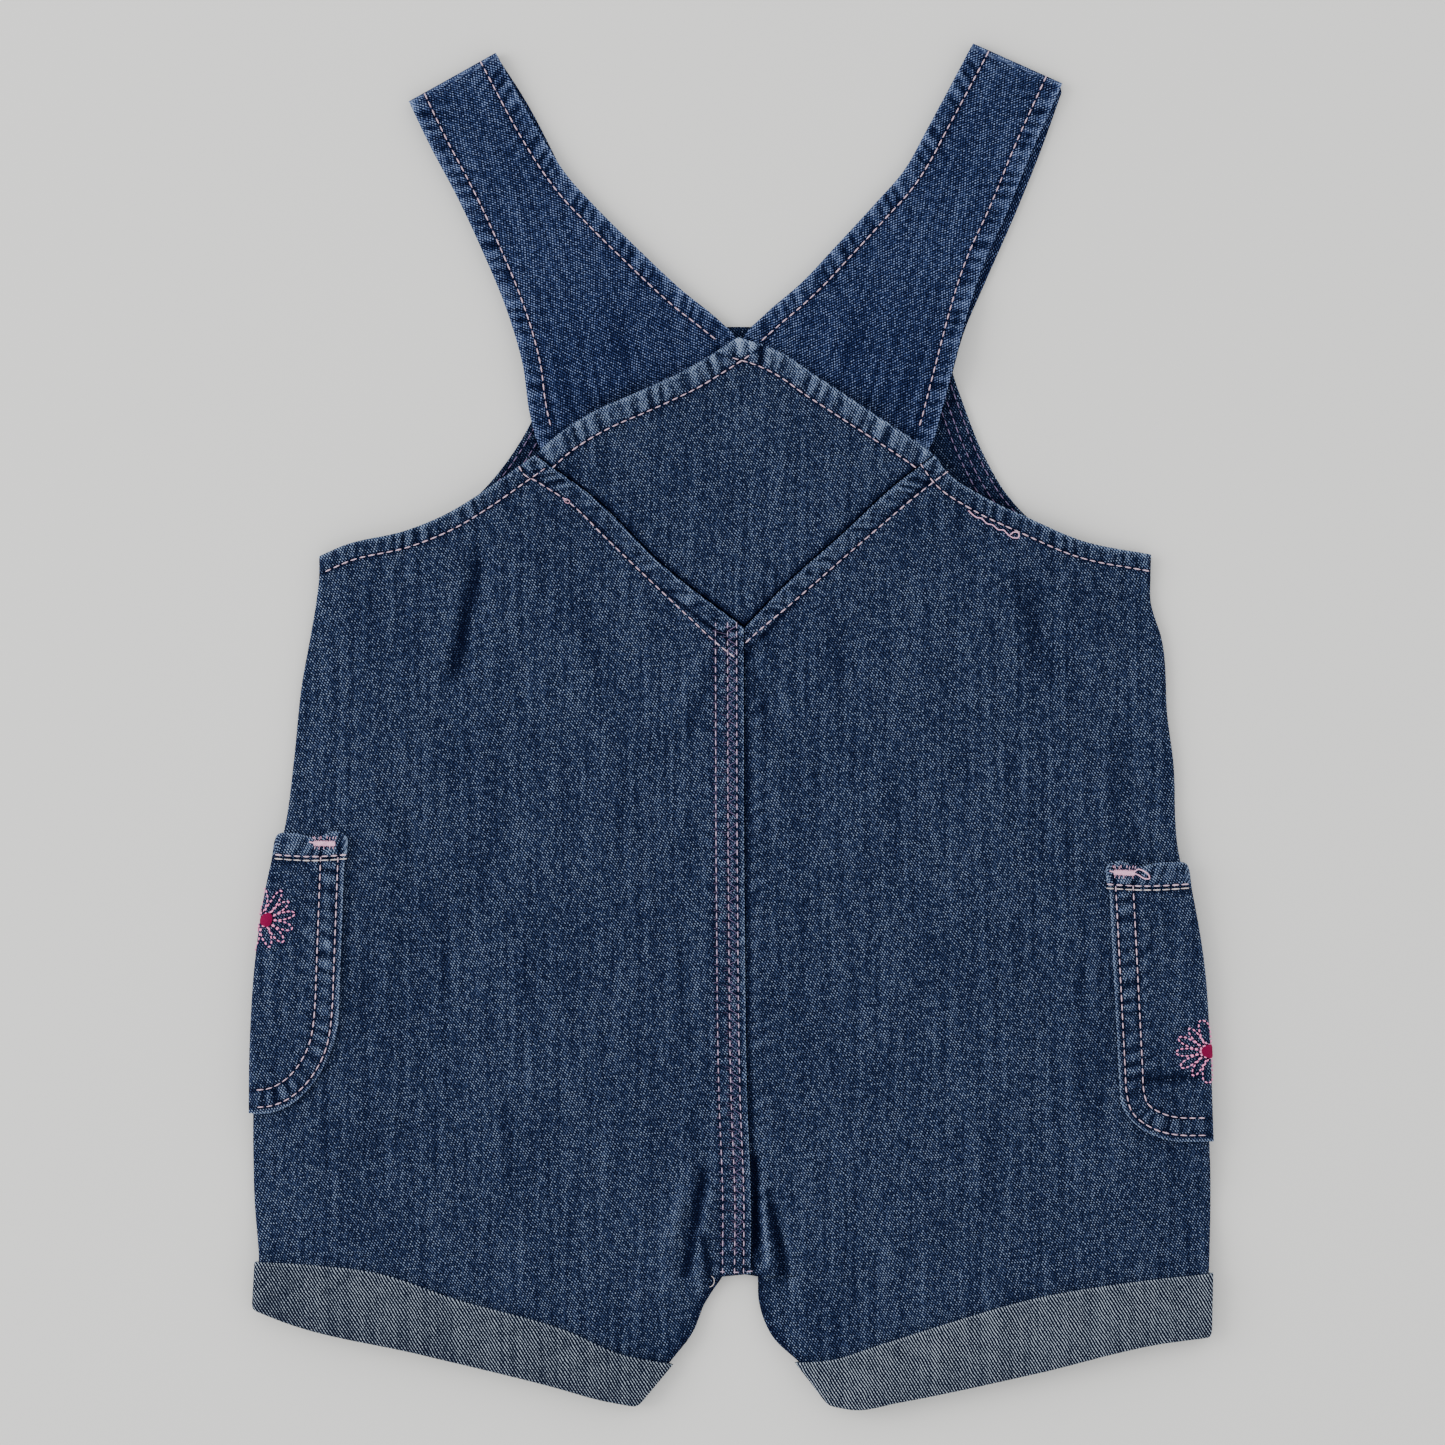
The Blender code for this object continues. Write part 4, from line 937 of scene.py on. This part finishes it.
def pocket_surface(side, girth, y, skin):
    """Points on a pocket. girth is the distance round from the side's outermost line, plus on the back."""
    edge = SIDE_X[side](y)
    turned = np.clip(girth / FOLD_RADIUS, -math.pi / 2, math.pi / 2)
    radius = FOLD_RADIUS + skin
    beyond = np.maximum(np.abs(girth) - QUARTER_TURN, 0.0)
    x = edge - SIGN[side] * (radius * (1 - np.cos(turned)) - skin + beyond)
    z_fold = under(edge, y) + FOLD_RADIUS + radius * np.sin(turned)
    z_back = back_height(x, y, FOLD_RADIUS + beyond, np.full(np.shape(x), 99.0)) + skin
    z_front = under(x, y) - skin
    return x, y + 0 * x, np.where(beyond > 0, np.where(girth > 0, z_back, z_front), z_fold)


def pocket_low(side, past):
    """A pocket's lower edge at a distance past the start of its round corner."""
    _top, bottom, _x_top, _x_bottom, across, down = POCKETS[side]
    return bottom + down * (1 - np.sqrt(1 - (past / (across + 0.5)) ** 2))


def pocket_edge(side):
    """A pocket's edge on the back in plan, from its top corner down and round to the side."""
    top, bottom, _x_top, _x_bottom, across, down = POCKETS[side]
    sign, edge = SIGN[side], SIDE_X[side]
    ys = np.linspace(top, bottom + down, 14)
    upright = [(float(edge(y) - sign * pocket_width(side, y)), y) for y in ys]
    corner_x = upright[-1][0]
    past = np.linspace(across, 0, 24)[3::3]
    rounded = [(corner_x + sign * (across - p), pocket_low(side, p)) for p in past]
    return sampled(upright + rounded + [(float(edge(bottom)) - sign, bottom)], 2.0)


def rounding(distance, radius):
    """How far a round corner falls back at a distance from its side."""
    left = np.clip(1 - distance / radius, 0.0, 1.0)
    return radius * (1 - np.sqrt(1 - left * left))


def shape_hem(side, points):
    """Gives a pocket's top hem its round corners, its sag and its slight bulge past the inner edge."""
    top, _bottom, inner_x = POCKETS[side][:3]
    share = 1 - smooth((top - points[..., 1] - 4.0) / 4.0)
    from_corner = np.abs(points[..., 0] - inner_x)
    from_side = np.abs(points[..., 0] - (SIDE_X[side](top) + SIGN[side] * (POCKET_MOUTH + LAYER)))
    dip = 1.3 * np.exp(-(((from_corner - 9.5) / 3.8) ** 2))
    dip = dip - 0.5 * np.exp(-(((from_corner - 3.6) / 2.4) ** 2))
    points[..., 1] -= share * (rounding(from_corner, 2.6) + rounding(from_side, 2.2) + dip)
    points[..., 0] -= 0.7 * share * SIGN[side] * np.exp(-((from_corner / 2.5) ** 2))


def pocket_piece(side):
    top, bottom, _x_top, _x_bottom, across, down = POCKETS[side]
    way = SIGN[side]
    fine = 1 - np.linspace(1, 0, int(38 / COARSE)) ** 1.25
    front = -fine[::-1][:-1:3]
    turned = np.linspace(-1, 1, 13) * QUARTER_TURN
    shares = np.concatenate([front, np.zeros(len(turned)), fine[1:]])
    arcs = np.concatenate([np.zeros(len(front)), turned, np.zeros(len(fine) - 1)])
    width = pocket_width(side, bottom + down / 2)
    low = pocket_low(side, np.clip(np.abs(shares) * width - (width - across), 0.0, across))
    levels = np.concatenate([np.linspace(0, 0.1, int(9 / COARSE)), np.linspace(0.12, 1, int(84 / COARSE))])
    outer, inner, mask = [], [], []
    for level in levels:
        y = top + (low - top) * level
        reach = pocket_width(side, y) - FOLD_RADIUS
        girth = np.where(shares == 0, arcs, np.sign(shares) * (QUARTER_TURN + np.abs(shares) * reach))
        angle = np.clip(girth / FOLD_RADIUS, -1.57, 1.57)
        stand = way * POCKET_MOUTH * (1 - float(smooth(level / 0.12))) * np.cos(angle)
        for grid, skin in ((outer, LAYER), (inner, LAY_GAP)):
            px, py, pz = pocket_surface(side, girth, y, skin)
            grid.append(np.stack([px + stand, py, pz], axis=1))
        mask.append(np.where(girth >= QUARTER_TURN, 1.0, np.maximum(np.sin(angle), 0)))
    outer, inner, mask = np.array(outer), np.array(inner), np.array(mask)
    x, y = outer[..., 0], outer[..., 1]
    relief = Relief(x, y, rolling(x * 1.4, y * 1.4, 8.0 if side == "left" else 9.0))
    hem_line = np.array(sorted([(100.0 * way, top), (150.0 * way, top)]))
    edge = pocket_edge(side)
    relief.seams(-1, (hem_line, 0, 0.3, 6.4, 4.4, 0.26, 0.16, 2.0, 0.5))
    relief.seams(way, (edge, 0, 2.3, 6.7, 4.8, 0.32, 0.20, 3.0, 0.2),
                 (edge, 0, 7.6, 11.5, 5.3, 0.16, 0.08, 5.0, 0.5))
    relief.worn_edge(hem_line, 1.0, 0.32)
    relief.worn_edge(hem_line - (0, 4.0), 2.0, 0.10)
    relief.worn_edge(edge, 0.7, 0.40)
    name = f"pocket_piece_{side}"
    for d in POCKET_ROWS:
        row = offset(edge, d * way)
        relief.groove(row, 0.25, -0.28)
        STITCH_LINES.append((name, clipped(row, 8.0, 1.4)))
    for d in (7.2, 8.4):
        relief.groove(offset(hem_line, -d), 0.2, -0.15)
    if side == "right":
        # A trough with painted shade along it
        relief.crease((118.0, -106.5, 143.0, -104.5, 1.4), -0.7, -0.22)
    keep = mask * smooth((np.abs(along(edge, x, y)[1])) / 1.5 + 0.2)
    hem = smooth((6.9 - (top - y)) / 0.8 + 0.5)
    outer[..., 2] += relief.height * keep + 0.35 * hem * mask
    grain = outer[..., :2].copy()
    for grid in (outer, inner):
        shape_hem(side, grid)
    return cloth_piece(name, f"pocket_{side}", outer, inner, grain, relief.tone)


# Sewing


def on_piece(piece, line, lift=0.0):
    """A plan line laid on a piece from above and lifted, in metres."""
    points = []
    for x, y in line:
        start = Vector(((x + SHIFT[0]) * MM, (y + SHIFT[1]) * MM, 0.05))
        hit = SURFACES[piece].ray_cast(start, Vector((0, 0, -1)))[0]
        if hit is not None:
            points.append((hit.x, hit.y, hit.z + lift * MM))
    return points


def stitch_tree(pitch, length, thickness, seed):
    """Geometry Nodes that lay evenly spaced stitches along curves."""
    tree = bpy.data.node_groups.new("stitches", "GeometryNodeTree")
    for way in ("INPUT", "OUTPUT"):
        tree.interface.new_socket("Geometry", in_out=way, socket_type="NodeSocketGeometry")
    rows = node(tree, "NodeGroupInput").outputs[0]
    spread = node(tree, "GeometryNodeCurveToPoints", {"Curve": rows, "Length": pitch * MM}, mode="LENGTH")
    ball = node(tree, "GeometryNodeMeshUVSphere", {"Segments": 8, "Rings": 6, "Radius": 0.5})
    size = (thickness * MM, thickness * MM, length * MM)
    stitch = node(tree, "GeometryNodeTransform", {"Geometry": ball.outputs["Mesh"], "Scale": size})
    vary = node(tree, "FunctionNodeRandomValue", {0: (0.85, 0.85, 0.86), 1: (1.1, 1.1, 1.05), "Seed": seed},
                data_type="FLOAT_VECTOR")
    laid = node(tree, "GeometryNodeInstanceOnPoints",
                {"Points": spread.outputs["Points"], "Rotation": spread.outputs["Rotation"],
                 "Instance": stitch.outputs[0], "Scale": vary.outputs[0]})
    real = node(tree, "GeometryNodeRealizeInstances", {"Geometry": laid.outputs[0]})
    node(tree, "NodeGroupOutput", {0: real.outputs[0]})
    return tree


def sewn(name, rows, material, radius=0.0, tree=None):
    """One mesh along rows of points in metres: tubes of a radius, or what a node tree lays there."""
    curve = bpy.data.curves.new(name, "CURVE")
    curve.dimensions = "3D"
    curve.bevel_depth = radius * MM
    curve.bevel_resolution = 1
    for row in rows:
        if len(row) > 1:
            spline = curve.splines.new("POLY")
            spline.points.add(len(row) - 1)
            for point, place in zip(spline.points, row):
                point.co = (*place, 1.0)
    source = bpy.data.objects.new(name, curve)
    bpy.context.scene.collection.objects.link(source)
    if tree:
        source.modifiers.new("stitches", "NODES").node_group = tree
    graph = bpy.context.evaluated_depsgraph_get()
    graph.update()
    mesh = bpy.data.meshes.new_from_object(source.evaluated_get(graph), depsgraph=graph)
    bpy.data.objects.remove(source)
    bpy.data.curves.remove(curve)
    mesh.name = name
    mesh.materials.clear()
    mesh.materials.append(material)
    mesh.shade_smooth()
    obj = bpy.data.objects.new(name, mesh)
    bpy.context.scene.collection.objects.link(obj)
    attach(obj, "root")


def stitches(name, rows, pitch, length, thickness, material, seed):
    sewn(name, rows, material, tree=stitch_tree(pitch, length, thickness, seed))


def thread(name, points, radius, material):
    """A loose thread or a dense zigzag, as a thin tube."""
    sewn(name, [points], material, radius)


for side in SIDES:
    body_panel(side, "back")
    body_panel(side, "front")
    cuff_piece(side)
    pocket_piece(side)
    strap_piece(side)
    row = offset(ARM_LINE[side], ARMHOLE_ROW * SIGN[side])
    STITCH_LINES.append((f"back_panel_{side}", clipped(row, 0.8, 0.5)))
yoke_piece()
bib_piece()
for side in SIDES:
    STITCH_LINES.append((f"back_panel_{side}", sampled(VEE[side], 1.5)))
centre_rows = []
heights = np.linspace(30.6, CROTCH_Y + 0.8, 90)
for across in CENTRE_ROWS:
    centre_rows.append(clipped(np.stack([CENTRE_X(heights) - across, heights], axis=1), 0.3, 0.2))
centre_rows.append(sampled(((-2.6, CROTCH_Y + 0.7), (1.5, CROTCH_Y + 0.5), (5.4, CROTCH_Y + 0.8))))
centre_rows = [on_piece("back_panel_left", line, 0.1) for line in centre_rows]
stitches("stitches_centre", centre_rows, STITCH_PITCH, STITCH_PITCH * 0.72, 0.36, LILAC, 20)

groups = {}
for piece, line in STITCH_LINES:
    groups.setdefault(piece, []).append(on_piece(piece, line, 0.12))
for number, (piece, rows) in enumerate(sorted(groups.items())):
    thick, colour = (0.32, UNDERTHREAD) if piece == "bib_piece" else (0.40, THREAD)
    stitches(f"stitches_{piece}", rows, STITCH_PITCH, STITCH_PITCH * 0.8, thick, colour, number)

# The looping thread under the centre seam's rows
rungs = []
for k in range(int(190 / (STITCH_PITCH / 2))):
    y = 30.0 - k * STITCH_PITCH / 2
    rungs.append((float(CENTRE_X(y)) - (4.6 if k % 2 else 2.3), y))
thread("centre_under_thread", on_piece("back_panel_left", rungs, 0.1), 0.15, UNDERTHREAD)
rungs = [(x - (4.6 if k % 2 else 1.9), y) for k, (x, y) in enumerate(rungs)]
thread("centre_under_thread_wide", on_piece("back_panel_left", rungs, 0.1), 0.15, UNDERTHREAD)

# Two rows under each pocket's hem, the upper one of stitches and the lower one almost unbroken
for side in SIDES:
    top, _bottom, inner_x = POCKETS[side][:3]
    side_x = float(SIDE_X[side](top - 8)) - SIGN[side] * 0.8
    xs = np.linspace(inner_x + SIGN[side] * 0.6, side_x, 24)
    sag = 0.5 * np.sin(np.pi * np.linspace(0, 1, 24))
    rows = (("upper", 6.6, 0.82, 0.5, THREAD), ("lower", 7.8, 0.98, 0.42, CORD))
    for label, d, share, thick, colour in rows:
        row = on_piece(f"pocket_piece_{side}", np.stack([xs, top - d - sag], axis=1), 0.12)
        stitches(f"stitches_pocket_hem_{label}_{side}", [row], STITCH_PITCH, STITCH_PITCH * share, thick,
                 colour, 11)

for side, x0, y0, x1, y1, half in BAR_TACKS:
    piece = f"pocket_piece_{side}"
    line, turns = [], 30
    for k in range(turns + 1):
        lean = half * (0.85 + 0.3 * math.sin(k * 2.3))
        for share in np.linspace(-lean, lean, 5)[::1 if k % 2 else -1]:
            line.append((x0 + (x1 - x0) * k / turns, y0 + (y1 - y0) * k / turns + share))
    thread(f"bar_tack_{side}", on_piece(piece, line, 0.22), 0.14, PINK_PALE)
    fringe = []
    for k in range(12):
        x = x0 + (x1 - x0) * (k + 0.5) / 12 + 0.15 * math.sin(k * 4.1)
        up = half + 0.35 + 0.65 * (0.5 + 0.5 * math.sin(k * 1.9 + 0.6))
        down = half + 0.2 + 0.5 * (0.5 + 0.5 * math.sin(k * 2.7))
        slope = 0.5 * (k / 6 - 1)
        for end, start in ((up, half * 0.5), (-down, -half * 0.5)):
            stroke = ((x, y0 + start), (x + slope * 0.5, y0 + (end + start) / 2), (x + slope, y0 + end))
            fringe.append(on_piece(piece, stroke, 0.25))
    stitches(f"bar_tack_fringe_{side}", fringe, 1.0, 1.02, 0.2, PINK_PALE, 5)
    core = [(x0 - 1.4, y0 + 0.4), (x0 + 1.6, y0 - 0.1), ((x0 + x1) / 2, y0 + 0.15), (x1, y1)]
    thread(f"bar_tack_core_{side}", on_piece(piece, sampled(core, 0.8), 0.3), 0.2, PINK_PALE)

# Loose threads. Columns: name, piece, radius, colour, points
LOOSE = (
    ("loose_tack_tail", "pocket_piece_right", 0.2, PINK_PALE,
     ((120.4, -43.5), (121.4, -42.7), (123.2, -43.2), (124.7, -44.4), (125.0, -45.4), (123.6, -45.5),
      (121.6, -44.4), (120.4, -43.9))),
    ("loose_armhole", "back_panel_right", 0.16, PINK_PALE,
     ((70.9, 64.6), (72.0, 63.6), (73.4, 62.6), (74.6, 62.4), (76.6, 60.7), (78.0, 60.4), (80.0, 58.9),
      (81.4, 58.8), (82.8, 57.4), (84.4, 56.5), (85.9, 56.6), (86.0, 57.8), (84.6, 58.2), (83.4, 57.4))),
    ("loose_vee_left", "back_panel_left", 0.09, PINK_PALE,
     ((-50.6, 68.4), (-49.4, 68.1), (-48.4, 67.4), (-48.9, 66.8), (-49.8, 67.2), (-50.2, 67.9))),
    ("loose_crotch", "back_panel_left", 0.11, CORD,
     ((-6.6, -167.9), (-5.7, -167.5), (-5.2, -166.4), (-5.3, -165.3), (-6.0, -164.6))),
)
for name, piece, radius, colour, points in LOOSE:
    thread(name, on_piece(piece, sampled(points, 0.5), radius + 0.1), radius, colour)


def on_pocket(side, girth, y, lift):
    x, y, z = (float(v) for v in pocket_surface(side, np.array(girth), np.array(y), LAYER + lift))
    if girth > 0:
        above = on_piece(f"pocket_piece_{side}", [(x, y)])
        z = max([z] + [point[2] / MM + lift for point in above])
    return ((x + SHIFT[0]) * MM, (y + SHIFT[1]) * MM, z * MM)


for side, girth0, y0, tall, wide, turn0, core in FLOWERS:
    rows = []
    for k in range(PETALS):
        middle = turn0 + 2 * math.pi * k / PETALS
        tip = 1.0 - 0.10 * (k % 3 == 1)
        loop = []
        for turn in np.linspace(0, 2 * math.pi, 19):
            reach = (PETAL_START + tip) / 2 - (tip - PETAL_START) / 2 * math.cos(turn)
            sideways = 0.115 * math.sin(turn) * (0.7 + 0.5 * reach)
            across = reach * math.cos(middle) - sideways * math.sin(middle)
            up = reach * math.sin(middle) + sideways * math.cos(middle)
            loop.append(on_pocket(side, girth0 + wide * across, y0 + tall * up, 0.3))
        rows.append(loop)
    stitches(f"petals_{side}", rows, 1.4, 1.0, 0.5, PINK, 3)
    centre = []
    for k in range(22):
        share = -1 + 2 * k / 21
        half = HEART[0] * math.sqrt(max(1 - share * share, 0.03))
        for end in np.linspace(-half, half, 9)[::1 if k % 2 else -1]:
            centre.append(on_pocket(side, core + end, y0 + HEART[1] * share, 0.5))
    thread(f"flower_centre_{side}", centre, 0.12, CRIMSON)

# Floor, light and camera
bpy.ops.mesh.primitive_plane_add(size=3.0, location=(0, 0, -0.0004))
floor = bpy.context.active_object
floor.name = "floor"
floor.data.materials.append(plain("floor_paint", (0.775, 0.772, 0.752), 0.9))
world = bpy.data.worlds.new("room")
bpy.context.scene.world = world
world.use_nodes = True
sky = world.node_tree
around = node(sky, "ShaderNodeTexCoord")
parts = node(sky, "ShaderNodeSeparateXYZ", {0: around.outputs["Generated"]})
# The sky's strength falls from the horizon to overhead
glow = maths(sky, "MULTIPLY_ADD", maths(sky, "ABSOLUTE", parts.outputs[2]), -2.2, 2.75)
background = sky.nodes["Background"]
background.inputs[0].default_value = (1.0, 1.0, 1.0, 1.0)
sky.links.new(glow, background.inputs[1])
lamp = bpy.data.lights.new("key", "AREA")
lamp.size = 1.5
lamp.energy = 34.0
holder = bpy.data.objects.new("key", lamp)
holder.location = (-2.0, 0.3, 1.15)
holder.rotation_euler = Vector((-2.0, 0.3, 1.15)).to_track_quat("Z", "Y").to_euler()
bpy.context.scene.collection.objects.link(holder)
lens = bpy.data.cameras.new("camera")
lens.sensor_width = 36.0
lens.lens = lens.sensor_width * CAMERA_HEIGHT / FRAME_WIDTH
camera = bpy.data.objects.new("camera", lens)
camera.location = (-0.0026, 0.0010, CAMERA_HEIGHT)
bpy.context.scene.collection.objects.link(camera)
bpy.context.scene.camera = camera
# Keeps the weave's fine contrast when the picture's noise is taken out
bpy.context.scene.cycles.denoising_prefilter = "NONE"
